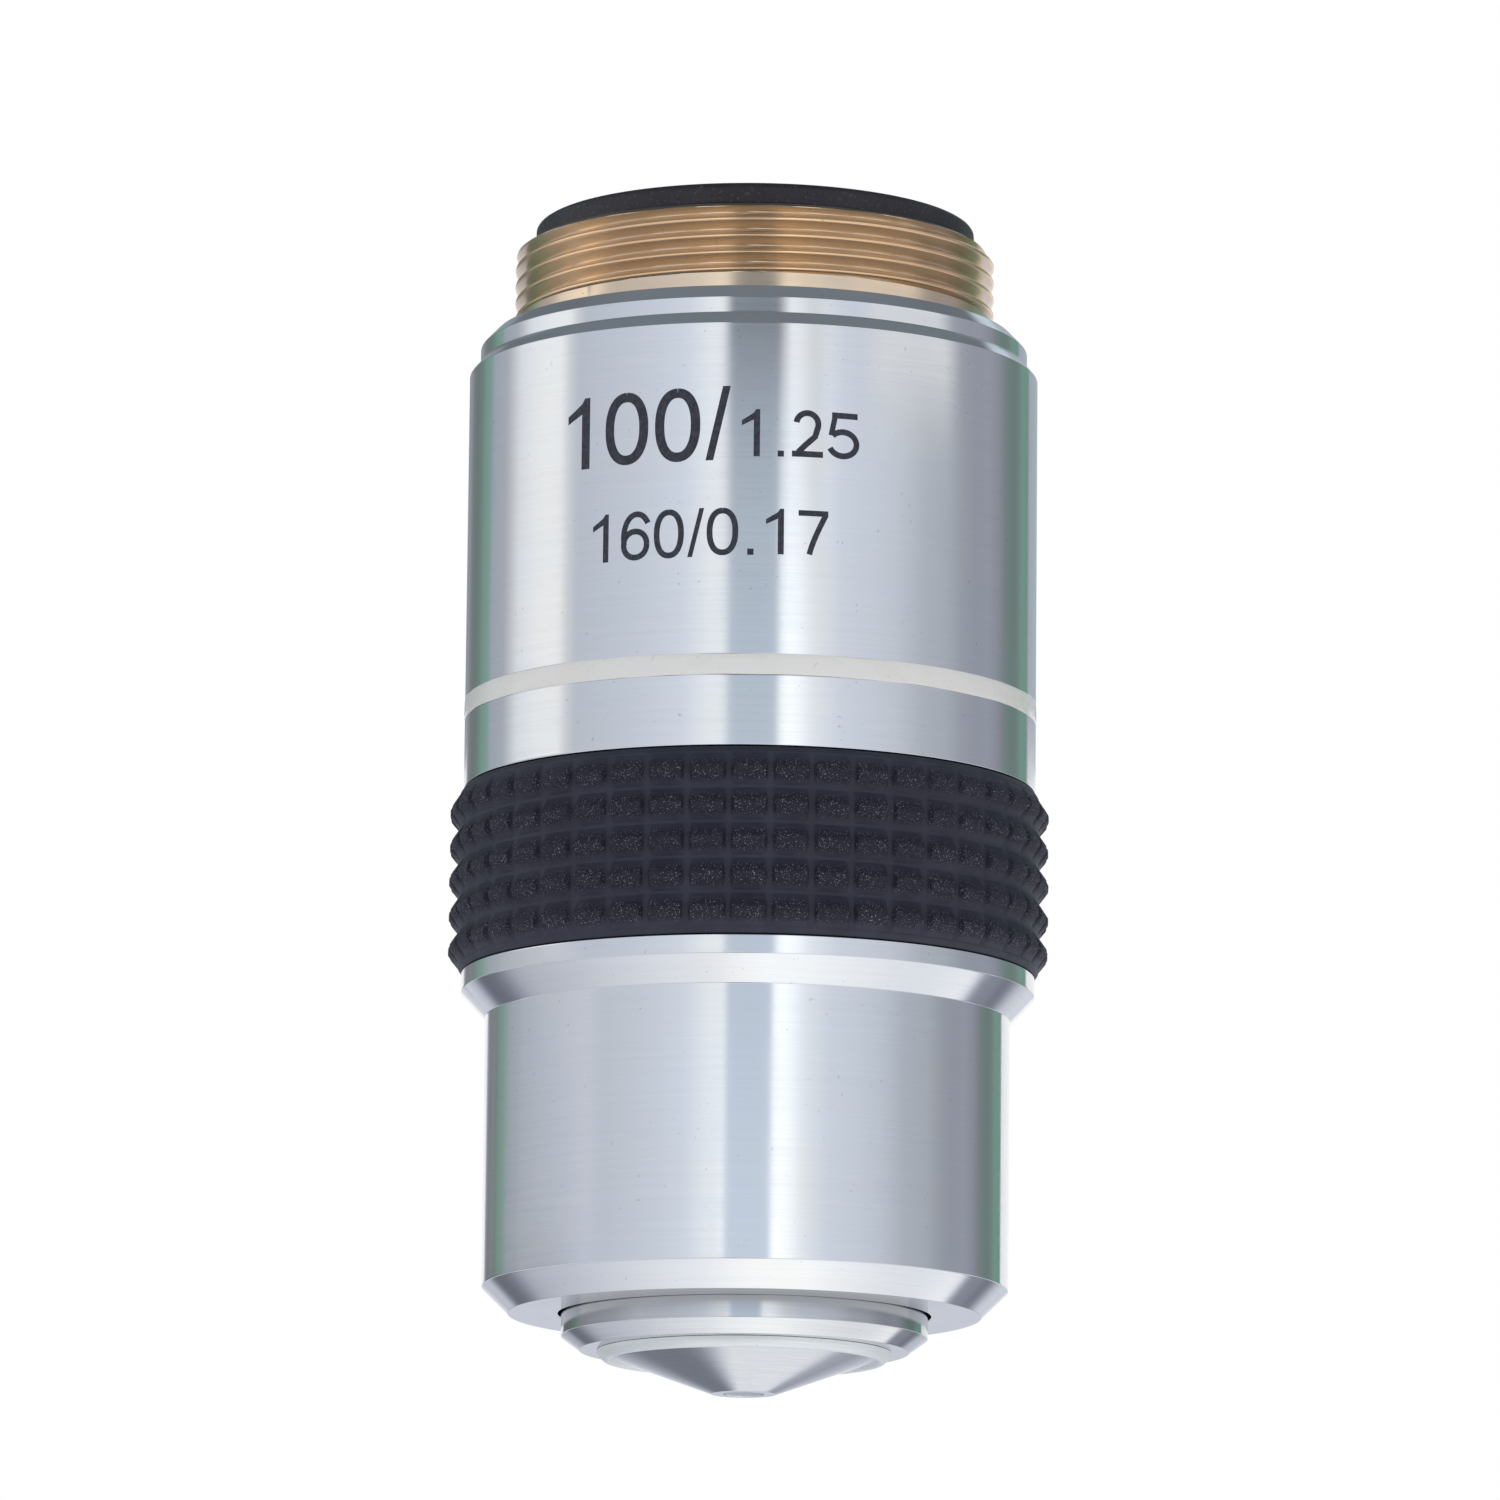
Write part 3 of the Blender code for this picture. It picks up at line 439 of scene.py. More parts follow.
def rounded(section, closed=True):
    """The section with its corners rounded and a supporting point each side of a corner."""
    count = len(section)
    points = []
    for k, corner in enumerate(section):
        here = np.array(corner[:2])
        if not closed and k in (0, count - 1):
            points.append(tuple(here))
            continue
        back = np.array(section[k - 1][:2]) - here
        ahead = np.array(section[(k + 1) % count][:2]) - here
        room = 0.45 * min(np.linalg.norm(back), np.linalg.norm(ahead))
        back /= np.linalg.norm(back)
        ahead /= np.linalg.norm(ahead)
        opening = math.acos(max(-1.0, min(1.0, float(back @ ahead))))
        radius = corner[2] if len(corner) > 2 else EDGE_ROUND
        reach = min(radius / math.tan(opening / 2), room * 0.7)
        outer = min(reach + SUPPORT, room)
        points.append(tuple(here + back * outer))
        radius = reach * math.tan(opening / 2)
        middle = here + (back + ahead) / np.linalg.norm(back + ahead) * math.hypot(reach, radius)
        start = here + back * reach - middle
        end = here + ahead * reach - middle
        first = math.atan2(start[1], start[0])
        turn = (math.atan2(end[1], end[0]) - first + math.pi) % math.tau - math.pi
        for j in range(ROUND_STEPS + 1):
            a = first + turn * j / ROUND_STEPS
            points.append((middle[0] + radius * math.cos(a), middle[1] + radius * math.sin(a)))
        points.append(tuple(here + ahead * outer))
    return points


def even(segments):
    """Angles spread evenly round the Z axis."""
    return np.arange(segments) * math.tau / segments


def spun(name, rows, material, angles, closed=True):
    """Turns rows about Z. A row's radius and height are numbers or one value per angle."""
    segments = len(angles)
    cos, sin = np.cos(angles), np.sin(angles)
    vertices, rings = [], []
    for radius, height in rows:
        if np.isscalar(radius) and radius < 1e-6:
            rings.append([len(vertices)] * segments)
            vertices.append((0.0, 0.0, height * MM))
            continue
        rings.append(list(range(len(vertices), len(vertices) + segments)))
        heights = np.broadcast_to(height, segments)
        block = np.stack([cos * radius, sin * radius, heights], 1) * MM
        vertices.extend(map(tuple, block))
    faces = []
    pairs = list(zip(rings, rings[1:])) + ([(rings[-1], rings[0])] if closed else [])
    for upper, lower in pairs:
        for j in range(segments):
            n = (j + 1) % segments
            corners = [upper[j], lower[j], lower[n], upper[n]]
            face = [c for i, c in enumerate(corners) if c not in corners[:i]]
            if len(face) > 2:
                faces.append(face)
    return make_object(name, vertices, faces, material)


def cut(obj, cutter):
    """Takes a scratch solid out of a piece and removes the scratch solid."""
    modifier = obj.modifiers.new("cut", "BOOLEAN")
    modifier.operation = "DIFFERENCE"
    modifier.solver = "EXACT"
    modifier.object = cutter
    graph = bpy.context.evaluated_depsgraph_get()
    mesh = bpy.data.meshes.new_from_object(obj.evaluated_get(graph))
    obj.modifiers.clear()
    obj.data = mesh
    mesh.set_sharp_from_angle(angle=SHARP)
    bpy.data.objects.remove(cutter)


def block(size, centre):
    """A scratch box for cutting, in mm."""
    bm = bmesh.new()
    bmesh.ops.create_cube(bm, size=1.0)
    bmesh.ops.scale(bm, vec=Vector(size) * MM, verts=bm.verts)
    bmesh.ops.translate(bm, vec=Vector(centre) * MM, verts=bm.verts)
    mesh = bpy.data.meshes.new("block")
    bm.to_mesh(mesh)
    bm.free()
    obj = bpy.data.objects.new("block", mesh)
    bpy.context.scene.collection.objects.link(obj)
    return obj


def drill(radius, start, end, height, slot=0.0):
    """A scratch bar along +Y with a round or round ended section, in mm."""
    sides = 48
    rim = []
    for j in range(sides):
        a = math.tau * j / sides
        shift = slot if math.sin(a) < -1e-9 else 0.0
        rim.append((radius * math.cos(a), height + radius * math.sin(a) - shift))
    low = [(x * MM, start * MM, z * MM) for x, z in rim]
    high = [(x * MM, end * MM, z * MM) for x, z in rim]
    faces = [[j, (j + 1) % sides, sides + (j + 1) % sides, sides + j] for j in range(sides)]
    faces += [list(range(sides))[::-1], list(range(sides, 2 * sides))]
    obj = make_object("drill", low + high, faces, chrome, smooth=False)
    bm = bmesh.new()
    bm.from_mesh(obj.data)
    bmesh.ops.recalc_face_normals(bm, faces=bm.faces)
    bm.to_mesh(obj.data)
    bm.free()
    return obj


def repaint(piece, look, low, high, inner):
    """Gives the faces between two heights and outside a radius another look, in mm."""
    piece.data.materials.append(look)
    for face in piece.data.polygons:
        middle = face.center / MM
        if low < middle.z < high and middle.xy.length > inner:
            face.material_index = 1


def dome(aperture, sag, height):
    """Points from the axis to the rim of a spherical lens surface, in mm."""
    if sag == 0.0:
        return [(0.0, height), (aperture * 0.5, height), (aperture, height)]
    sphere = (aperture**2 + sag**2) / (2 * abs(sag))
    rim = math.asin(min(1.0, aperture / sphere))
    side = math.copysign(1.0, sag)
    made = []
    for k in range(LENS_STEPS + 1):
        a = rim * k / LENS_STEPS
        made.append((sphere * math.sin(a), height + sag - side * sphere * (1 - math.cos(a))))
    return made


# Turned pieces

# The guide screw's hole and the slot for its point, in mm
GUIDE_HEIGHT = -23.345
SCREW_HOLE_RADIUS, DOG_SLOT_RADIUS, DOG_SLOT_FLOOR = 1.05, 0.75, 7.805
NOSE_TRAVEL = 1.5

for node, section in SECTIONS.items():
    look = LOOKS[SLOT_OF[node]]
    if node in ("nose_sleeve", "front_cell"):
        look = nose_chrome
    seen_outside = node in ("outer_barrel", "nose_sleeve", "front_cell", "rear_ring")
    segments = OUTER_SEGMENTS if seen_outside else INNER_SEGMENTS
    piece = spun(node + "_fine", rounded(section), look, even(segments))
    if node in NOTCHES:
        top, depth, width, span = NOTCHES[node]
        cut(piece, block((span, width, 2 * depth), (0, 0, top)))
    if node == "outer_barrel":  # the cutters' outer ends lie clear of the pieces
        cut(piece, drill(SCREW_HOLE_RADIUS, 6.0, 13.0, GUIDE_HEIGHT))
    if node == "nose_sleeve":
        cut(piece, drill(DOG_SLOT_RADIUS, DOG_SLOT_FLOOR, 10.0, GUIDE_HEIGHT, slot=NOSE_TRAVEL))
        # The sleeve's visible cylinder takes the darker copy of the chrome, painted shade
        repaint(piece, shaded_sleeve_chrome, -42.40, -38.3, 7.5)
    if node == "front_cell":
        repaint(piece, rim_metal, -math.inf, -43.0, 5.43)
    stand_in(piece, node)

for node, (aperture, bottom, edge, front, rear) in LENSES.items():
    lower_face = FRONT_FACE if node == "front_lens" else dome(aperture, front, bottom)[::-1]
    rows = dome(aperture, rear, bottom + edge) + lower_face
    look = LOOKS[SLOT_OF[node]]
    stand_in(spun(node + "_fine", rows, look, even(LENS_SEGMENTS), closed=False), node)


# Brass thread

THREAD_SEGMENTS = 288
ROWS_PER_TURN = 28
THREAD_RADIUS = 10.13
PITCH = 0.7056
THREAD_TOP, THREAD_FOOT = 3.81, 0.73
FRONT_CREST = 3.055  # height of the top whole crest on the camera's side
CREST_ROUND = 0.14 * PITCH
ROOT_ROUND = 0.05 * PITCH
FLANK = math.radians(62.5)
# The lead in, which narrows the thread upwards, and the run out into the neck
LEAD_RADIUS, LEAD_HEIGHT, LEAD_SLOPE = 9.60, 3.83, 1.6
NECK_RADIUS, RUNOUT_START, RUNOUT_LENGTH = 10.01, 1.03, 0.22


def thread_drop(offset):
    """Depth below the crest at a distance along the axis from the crest, in mm."""
    arc_end = CREST_ROUND * math.sin(FLANK)
    arc_drop = CREST_ROUND * (1 - math.cos(FLANK))
    root_end = ROOT_ROUND * math.sin(FLANK)
    half = PITCH / 2
    line_end = half - root_end
    deepest = arc_drop + (line_end - arc_end) * math.tan(FLANK)
    deepest += ROOT_ROUND * (1 - math.cos(FLANK))
    crest = CREST_ROUND - np.sqrt(np.maximum(CREST_ROUND**2 - np.minimum(offset, arc_end) ** 2, 0))
    line = arc_drop + (offset - arc_end) * math.tan(FLANK)
    from_root = np.clip(half - offset, 0, root_end)
    root = deepest - ROOT_ROUND + np.sqrt(ROOT_ROUND**2 - from_root**2)
    return np.where(offset < arc_end, crest, np.where(offset < line_end, line, root))


def thread_rows():
    turned = (even(THREAD_SEGMENTS) + math.pi / 2) / math.tau
    rows = []
    for height in np.arange(THREAD_TOP, THREAD_FOOT, -PITCH / ROWS_PER_TURN):
        phase = (height - FRONT_CREST) / PITCH - turned
        offset = np.abs(phase - np.round(phase)) * PITCH
        radius = THREAD_RADIUS - thread_drop(offset)
        lead = LEAD_RADIUS + (LEAD_HEIGHT - height) * LEAD_SLOPE
        runout = NECK_RADIUS * np.clip((RUNOUT_START - height) / RUNOUT_LENGTH, 0, 1)
        rows.append((np.maximum(np.minimum(radius, lead), runout), float(height)))
    return rows


mount_rows = [(8.39, 3.85), (8.9, 3.85), (9.40, 3.85), (9.43, 3.845)] + thread_rows()
mount_rows += rounded(
    [
        (NECK_RADIUS, 0.72), (NECK_RADIUS, -0.35, 0.03), (9.455, -0.35), (9.455, -5.0, 0.2),
        (7.805, -5.0, 0.1), (7.805, 1.6), (8.355, 1.6), (8.355, 3.85),
    ],
    closed=False,
)
mount = spun("thread_mount_fine", mount_rows, brass, even(THREAD_SEGMENTS))
stand_in(mount, "thread_mount")


# Cream ring

rng = np.random.default_rng(SEED)
# Down the ring's face: radius, share of the bulge, and place as a share of the width
RING_FACE = [
    (12.024, 0.7, 0.12), (12.029, 1.0, 0.3), (12.030, 1.0, 0.5), (12.029, 1.0, 0.7),
    (12.024, 0.7, 0.88),
]
RING_EDGE, RING_ROUND, RING_ROUND_DROP = 12.0055, 12.014, 0.03
RING_BACK = [(11.56, -16.45), (11.56, -15.70)]


def wander(waves, size):
    """A smooth random line round the ring."""
    angles = even(OUTER_SEGMENTS)
    line = np.zeros(OUTER_SEGMENTS)
    for k in range(2, waves):
        line += rng.normal() / math.sqrt(k) * np.cos(k * angles + rng.uniform(0, math.tau))
    return line / np.abs(line).max() * size


top_edge = -15.635 + wander(40, 0.018)
low_edge = -16.505 + wander(40, 0.022)
width = top_edge - low_edge
bulge = wander(14, 0.004)
corner = RING_ROUND + bulge * 0.4
ring_rows = [(RING_EDGE, top_edge), (corner, top_edge - RING_ROUND_DROP)]
ring_rows += [(r + bulge * share, top_edge - down * width) for r, share, down in RING_FACE]
ring_rows += [(corner, low_edge + RING_ROUND_DROP), (RING_EDGE, low_edge)] + RING_BACK
stand_in(spun("code_ring_fine", ring_rows, cream, even(OUTER_SEGMENTS)), "code_ring")


# Rubber grip

COLUMNS, ROWS, ROW_PITCH, FIRST_ROW = 45, 5, 1.45, -19.72
VALLEY, STUD, TALLEST = 12.155, 0.415, 0.435  # the valleys' radius and the studs' rise
GROOVE_RISE = 0.35  # share of a stud's rise that the grooves between columns keep
SIDE_RAMP = 0.06  # length of a stud's side, as a share of the pitch
# The ring's plain lips above and below the studs
UPPER_LIP = [(11.6, -19.49), (11.99, -19.49), (12.02, -19.505), (12.12, -19.66), (12.15, -19.70)]
LOWER_LIP = [
    (12.15, -26.99), (12.12, -27.03), (12.02, -27.185), (11.99, -27.2), (11.39, -27.2),
    (11.39, -19.49),
]
# Places of the mesh lines across and down a stud, as shares of the stud's pitch
ACROSS = np.array(
    [0.0, 0.04, 0.06, 0.08, 0.10, 0.13, 0.28, 0.42, 0.5, 0.58, 0.72, 0.87, 0.90, 0.92, 0.94, 0.96]
)
DOWN = np.array(
    [0.0, 0.04, 0.08, 0.16, 0.24, 0.32, 0.40, 0.45, 0.49, 0.54, 0.58, 0.62, 0.66, 0.75, 0.86, 0.96]
)
STUD_PROFILE = [(0.0, 0.0), (0.04, 0.0), (0.45, 1.0), (0.62, 1.0), (0.96, 0.0), (1.0, 0.0)]


def grip_rows():
    """The rows of the studded face, with small differences from stud to stud."""
    column = np.repeat(np.arange(COLUMNS), len(ACROSS))
    across = np.tile(ACROSS, COLUMNS)
    crown = 1 - 0.08 * (2 * across - 1) ** 2
    tall = rng.normal(0, 0.025, (ROWS, COLUMNS))
    lean = rng.normal(0, 0.05, (ROWS, COLUMNS))
    sway = rng.normal(0, 0.05, (ROWS, COLUMNS))
    shift = rng.normal(0, 0.008, (ROWS, COLUMNS))
    start = rng.normal(0.065, 0.010, (ROWS, COLUMNS))
    end = rng.normal(0.935, 0.010, (ROWS, COLUMNS))
    rows = []
    for row in range(ROWS):
        for down in DOWN:
            v = np.clip(down + shift[row, column], 0, 1)
            side = np.clip((across - start[row, column]) / SIDE_RAMP, 0, 1)
            side *= np.clip((end[row, column] - across) / SIDE_RAMP, 0, 1)
            face = np.interp(v, *zip(*STUD_PROFILE))
            tilt = 1 + lean[row, column] * (2 * v - 1) + sway[row, column] * (2 * across - 1)
            side = GROOVE_RISE + (1 - GROOVE_RISE) * side
            rise = STUD * (0.97 + tall[row, column]) * side * face * crown * tilt
            height = FIRST_ROW - ROW_PITCH * (row + down)
            rows.append((VALLEY + np.clip(rise, 0, TALLEST), height))
    rows.append((VALLEY, FIRST_ROW - ROW_PITCH * ROWS))
    return rows


# The mesh's angles are gathered at the studs' sides
stud_angles = []
for column in range(COLUMNS):
    stud_angles.extend((column + ACROSS - 0.5) * math.tau / COLUMNS - math.pi / 2)
grip = spun("grip_ring_fine", UPPER_LIP + grip_rows() + LOWER_LIP, grip_rubber, stud_angles)
stand_in(grip, "grip_ring")


# Return spring

SPRING_RADIUS, WIRE_RADIUS, TURNS = 8.53, 0.4, 7
SPRING_LOW, SPRING_HIGH, CLOSED_RISE = -15.5, -6.0, 0.85


def spring():
    """The coil, with its end turns closed."""
    around, per_turn = 12, 48
    count = TURNS * per_turn
    vertices, faces = [], []
    for k in range(count + 1):
        turn = k / per_turn
        share = min(max((turn - 1) / (TURNS - 2), 0.0), 1.0)
        rise = CLOSED_RISE * (min(turn, 1.0) + max(turn - TURNS + 1, 0.0))
        rise += (SPRING_HIGH - SPRING_LOW - 2 * CLOSED_RISE) * share
        a = math.tau * turn
        for j in range(around):
            b = math.tau * j / around
            radius = SPRING_RADIUS + WIRE_RADIUS * math.cos(b)
            height = SPRING_LOW + rise + WIRE_RADIUS * math.sin(b)
            vertices.append((radius * math.cos(a) * MM, radius * math.sin(a) * MM, height * MM))
    for k in range(count):
        for j in range(around):
            n = (j + 1) % around
            faces.append(
                (k * around + j, (k + 1) * around + j, (k + 1) * around + n, k * around + n)
            )
    faces.append(tuple(range(around)))
    faces.append(tuple(count * around + j for j in reversed(range(around))))
    return make_object("return_spring_fine", vertices, faces, spring_steel)


coil = stand_in(spring(), "return_spring")
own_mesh(coil)


# Numerals

NUMERAL_RADIUS, NUMERAL_FOOT, BARREL_RADIUS = 12.012, 11.99, 12.005
STROKE_STEP = 0.16  # length of the pieces that a stroke is made of
# (sign, left, right, top, bottom, stroke) on the barrel, in mm round it and up it
NUMERALS = [
    ("1", -8.28, -7.16, -4.60, -7.59, 0.40),
    ("0", -6.38, -4.42, -4.56, -7.60, 0.40),
    ("0", -4.12, -2.19, -4.52, -7.61, 0.40),
    ("/", -1.96, -0.94, -4.47, -7.58, 0.29),
    ("1", -0.47, 0.28, -5.44, -7.42, 0.26),
    (".", 1.01, 1.27, -7.16, -7.41, 0.26),
    ("2", 1.60, 2.90, -5.42, -7.39, 0.25),
    ("5", 3.03, 4.47, -5.45, -7.39, 0.25),
    ("1", -6.93, -6.18, -9.60, -11.61, 0.255),
    ("6", -5.59, -4.31, -9.58, -11.63, 0.245),
    ("0", -4.12, -2.83, -9.58, -11.63, 0.245),
    ("/", -2.68, -1.99, -9.57, -11.61, 0.18),
    ("0", -1.88, -0.57, -9.57, -11.56, 0.245),
    (".", -0.20, 0.06, -11.28, -11.54, 0.26),
    ("1", 0.56, 1.30, -9.59, -11.50, 0.25),
    ("7", 1.90, 3.15, -9.62, -11.46, 0.235),
]


def ribbon(points, width):
    """Quads of a stroke along a line of points."""
    line = [np.array(points[0], float)]
    for target in points[1:]:
        target = np.array(target, float)
        gap = target - line[-1]
        pieces = max(1, int(np.linalg.norm(gap) / STROKE_STEP))
        base = line[-1]
        line += [base + gap * (i + 1) / pieces for i in range(pieces)]
    line = np.array(line)
    ahead = np.gradient(line, axis=0)
    ahead /= np.linalg.norm(ahead, axis=1)[:, None]
    side = np.stack([-ahead[:, 1], ahead[:, 0]], 1) * width / 2
    left, right = line + side, line - side
    return [[left[i], right[i], right[i + 1], left[i + 1]] for i in range(len(line) - 1)]


def oval(cx, cy, rx, ry, start, end, steps, power=2.0):
    """Points of an oval's arc, from one angle in degrees to another. More power is squarer."""
    made = []
    for k in range(steps + 1):
        a = math.radians(start + (end - start) * k / steps)
        c, s = math.cos(a), math.sin(a)
        x = math.copysign(abs(c) ** (2 / power), c)
        y = math.copysign(abs(s) ** (2 / power), s)
        made.append((cx + rx * x, cy + ry * y))
    return made


def sign_quads(sign, w, h, s):
    """The strokes of a sign, as shares of a box of width w and height h, with stroke s."""
    half = s / 2
    if sign == "0":
        return ribbon(oval(w / 2, h / 2, w / 2 - half, h / 2 - half, 90, 450, 56, 2.25), s)
    if sign == "1":
        flag = [
            [(0, 0.655 * h), (0, 0.765 * h), (0.30 * w, 0.835 * h), (0.36 * w, 0.725 * h)],
            [(0.36 * w, 0.725 * h), (0.30 * w, 0.835 * h), (w - s, 0.925 * h), (w - s, 0.78 * h)],
            [(w - s, 0.78 * h), (w - s, 0.925 * h), (w - 0.62 * s, h), (w - half, 0.8 * h)],
        ]
        stem = ribbon([(w - half, 0), (w - half, 0.90 * h)], s)
        top = [[(w - 0.95 * s, 0.90 * h), (w, 0.90 * h), (w, h), (w - 0.62 * s, h)]]
        return stem + top + flag
    if sign == "/":
        lean = (w - s * 1.1) / h
        return [
            [(lean * a, a), (lean * a + s * 1.1, a), (lean * b + s * 1.1, b), (lean * b, b)]
            for a, b in ((h * k / 12, h * (k + 1) / 12) for k in range(12))
        ]
    if sign == ".":
        return [[(0, 0), (w, 0), (w, h), (0, h)]]
    if sign == "2":
        bowl = oval(w * 0.49, h * 0.70, w * 0.45 - half, h * 0.30 - half, 172, -22, 22)
        path = bowl + [(w * 0.74, h * 0.44), (w * 0.44, h * 0.26), (w * 0.20, half + h * 0.035)]
        return ribbon(path, s) + ribbon([(0, half), (w, half)], s)
    if sign == "5":
        bowl = oval(w * 0.5, h * 0.325, w * 0.5 - half, h * 0.325 - half, 138, -158, 30)
        stem = ribbon([(w * 0.265, h - half * 1.2), (w * 0.15, h * 0.50)], s * 0.92)
        bar = ribbon([(w * 0.17, h - half), (w * 0.94, h - half)], s)
        return bar + stem + ribbon(bowl, s)
    if sign == "6":
        bowl = oval(w / 2, h * 0.325, w / 2 - half, h * 0.325 - half, 0, 360, 44, 2.1)
        back = oval(w * 0.56, h * 0.46, w * 0.56 - half, h * 0.54 - half, 196, 36, 26, 2.1)
        return ribbon(bowl, s) + ribbon(back, s)
    if sign == "7":
        leg = [
            (w - half * 0.9, h - s * 0.75), (w * 0.66, h * 0.56), (w * 0.46, h * 0.26),
            (w * 0.37, 0),
        ]
        curve = []
        for k in range(17):
            t = k / 16
            weights = ((1 - t) ** 3, 3 * t * (1 - t) ** 2, 3 * t * t * (1 - t), t**3)
            curve.append(tuple(sum(q * p[i] for q, p in zip(weights, leg)) for i in (0, 1)))
        return ribbon([(0, h - half), (w, h - half)], s) + ribbon(curve, s)


def numerals():
    """All signs as one thin raised piece: their strokes merged, then wrapped on the barrel."""
    flat, faces = [], []
    for sign, left, right, top, bottom, stroke in NUMERALS:
        for quad in sign_quads(sign, right - left, top - bottom, stroke):
            start = len(flat)
            area = sum(a[0] * b[1] - b[0] * a[1] for a, b in zip(quad, quad[1:] + quad[:1]))
            for x, y in quad if area > 0 else quad[::-1]:
                flat.append((left + x, bottom + y))
            faces.append(list(range(start, start + len(quad))))
    merged = delaunay_2d_cdt([Vector(p) for p in flat], [], faces, 0, 1e-5)
    points, _, cells, _, _, strokes_of = merged
    turned = []
    for cell in (list(cell) for cell, strokes in zip(cells, strokes_of) if strokes):
        a, b, c = (points[i] for i in cell[:3])
        ccw = (b.x - a.x) * (c.y - a.y) - (b.y - a.y) * (c.x - a.x) > 0
        turned.append(cell if ccw else cell[::-1])
    count = len(points)
    vertices = []
    for radius in (NUMERAL_RADIUS, NUMERAL_FOOT):
        for p in points:
            a = p.x / BARREL_RADIUS
            vertices.append((radius * math.sin(a) * MM, -radius * math.cos(a) * MM, p.y * MM))
    edges = {}
    for cell in turned:
        for i, j in zip(cell, cell[1:] + cell[:1]):
            edges[(i, j)] = edges.get((i, j), 0) + 1
    rim = [(i, j) for (i, j) in edges if (j, i) not in edges]
    solid = turned + [[count + i for i in reversed(cell)] for cell in turned]
    solid += [[j, i, count + i, count + j] for i, j in rim]
    made = make_object("numerals", vertices, solid, slate, smooth=False)
    bm = bmesh.new()
    bm.from_mesh(made.data)
    loose = [v for v in bm.verts if not v.link_faces]
    bmesh.ops.delete(bm, geom=loose, context="VERTS")
    bm.to_mesh(made.data)
    bm.free()
    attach(made, "barrel")


numerals()


# Nodes that no piece stands for keep their solid and get their slot's look

for name, node in frame["nodes"].items():
    if node.hide_render:
        continue
    for k in range(len(node.material_slots)):
        node.material_slots[k].material = LOOKS[SLOT_OF[name]]


# Studio

# Middle of the round cards and radius of the upright one, in m
CENTRE = Vector((0, 0, -0.02))
WALL = 0.12

# Tints of the cards' light, as red, green and blue shares
TINTS = {
    "white": (1.01, 1.0, 0.98), "pale": (0.98, 1.0, 1.02), "cool": (0.95, 1.0, 1.09),
    "blue": (0.90, 1.0, 1.13), "violet": (0.965, 1.0, 1.15), "sea": (0.88, 1.0, 1.04),
    "mint": (0.77, 1.0, 0.92), "green": (0.68, 1.0, 0.87), "emerald": (0.56, 1.0, 0.80),
}
# Level and tint of the cards round the object, by azimuth from the camera's side, right positive
RING = [
    (-156, 0.30, "cool"), (-150, 0.23, "cool"), (-144, 0.23, "mint"), (-138, 0.28, "green"),
    (-134, 0.36, "green"), (-130, 0.42, "emerald"), (-127.5, 0.42, "green"), (-125, 0.48, "blue"),
    (-118, 0.51, "cool"), (-114, 0.53, "cool"), (-110, 0.68, "pale"), (-104, 0.96, "pale"),
    (-98, 1.04, "pale"), (-92, 1.10, "white"), (-86, 1.13, "white"), (-80, 1.12, "white"),
    (-76, 0.84, "pale"), (-71.5, 0.69, "cool"),
    (-59, 0.74, "cool"), (-48, 0.78, "cool"), (-37, 0.836, "cool"), (-26, 0.91, "cool"),
    (-16, 1.10, "pale"), (-10.5, 1.12, "pale"), (-7.5, 0.71, "blue"), (9, 0.71, "blue"),
    (11.5, 1.28, "pale"), (14, 1.44, "pale"), (18, 1.34, "pale"), (22, 1.14, "pale"),
    (25, 1.04, "pale"), (35, 0.87, "cool"), (46, 0.82, "cool"), (57, 0.745, "cool"),
    (70, 0.59, "cool"), (82, 0.54, "cool"), (90, 0.445, "cool"), (97, 0.40, "violet"),
    (106, 0.41, "violet"), (113, 0.355, "violet"), (119, 0.28, "sea"), (123, 0.28, "green"),
    (128, 0.25, "mint"), (132, 0.29, "mint"), (136, 0.38, "emerald"), (141, 0.35, "emerald"),
    (144.5, 0.30, "green"),
]
# The same far left and low, which the lower barrel shows
LOW_RING = [
    (-156, 0.40, "cool"), (-154, 0.36, "cool"), (-150, 0.24, "cool"), (-146, 0.26, "cool"),
    (-142, 0.285, "white"), (-138.5, 0.28, "mint"), (-134, 0.37, "green"), (-130, 0.40, "green"),
    (-126.5, 0.45, "mint"), (-124, 0.476, "sea"), (-118, 0.51, "cool"),
]
# The dark panel round the camera's lens, by height in mm: its share of the level above
PANEL = [
    (-40, 1.26), (-21, 1.18), (-15, 1.09), (-11, 1.06), (6, 0.98), (11.4, 0.91), (16, 0.84),
    (18.6, 0.76), (19.6, 0.48), (22, 0.42), (26, 0.36), (40, 0.30),
]
# The panel's left and right edge and their softness, in degrees, on the wall and beyond it
PANEL_SPAN, FAR_PANEL_SPAN = (-13, 15, 5), (-13, 13, 4)
# The plain card on the left, low down: its edges and their softness, and its tones there
KEY_LEFT, KEY_RIGHT = (-115, 4), (-60, 11)
KEY_TONES = np.array(((0.53, 0.56, 0.61), (0.745, 0.765, 0.835)))


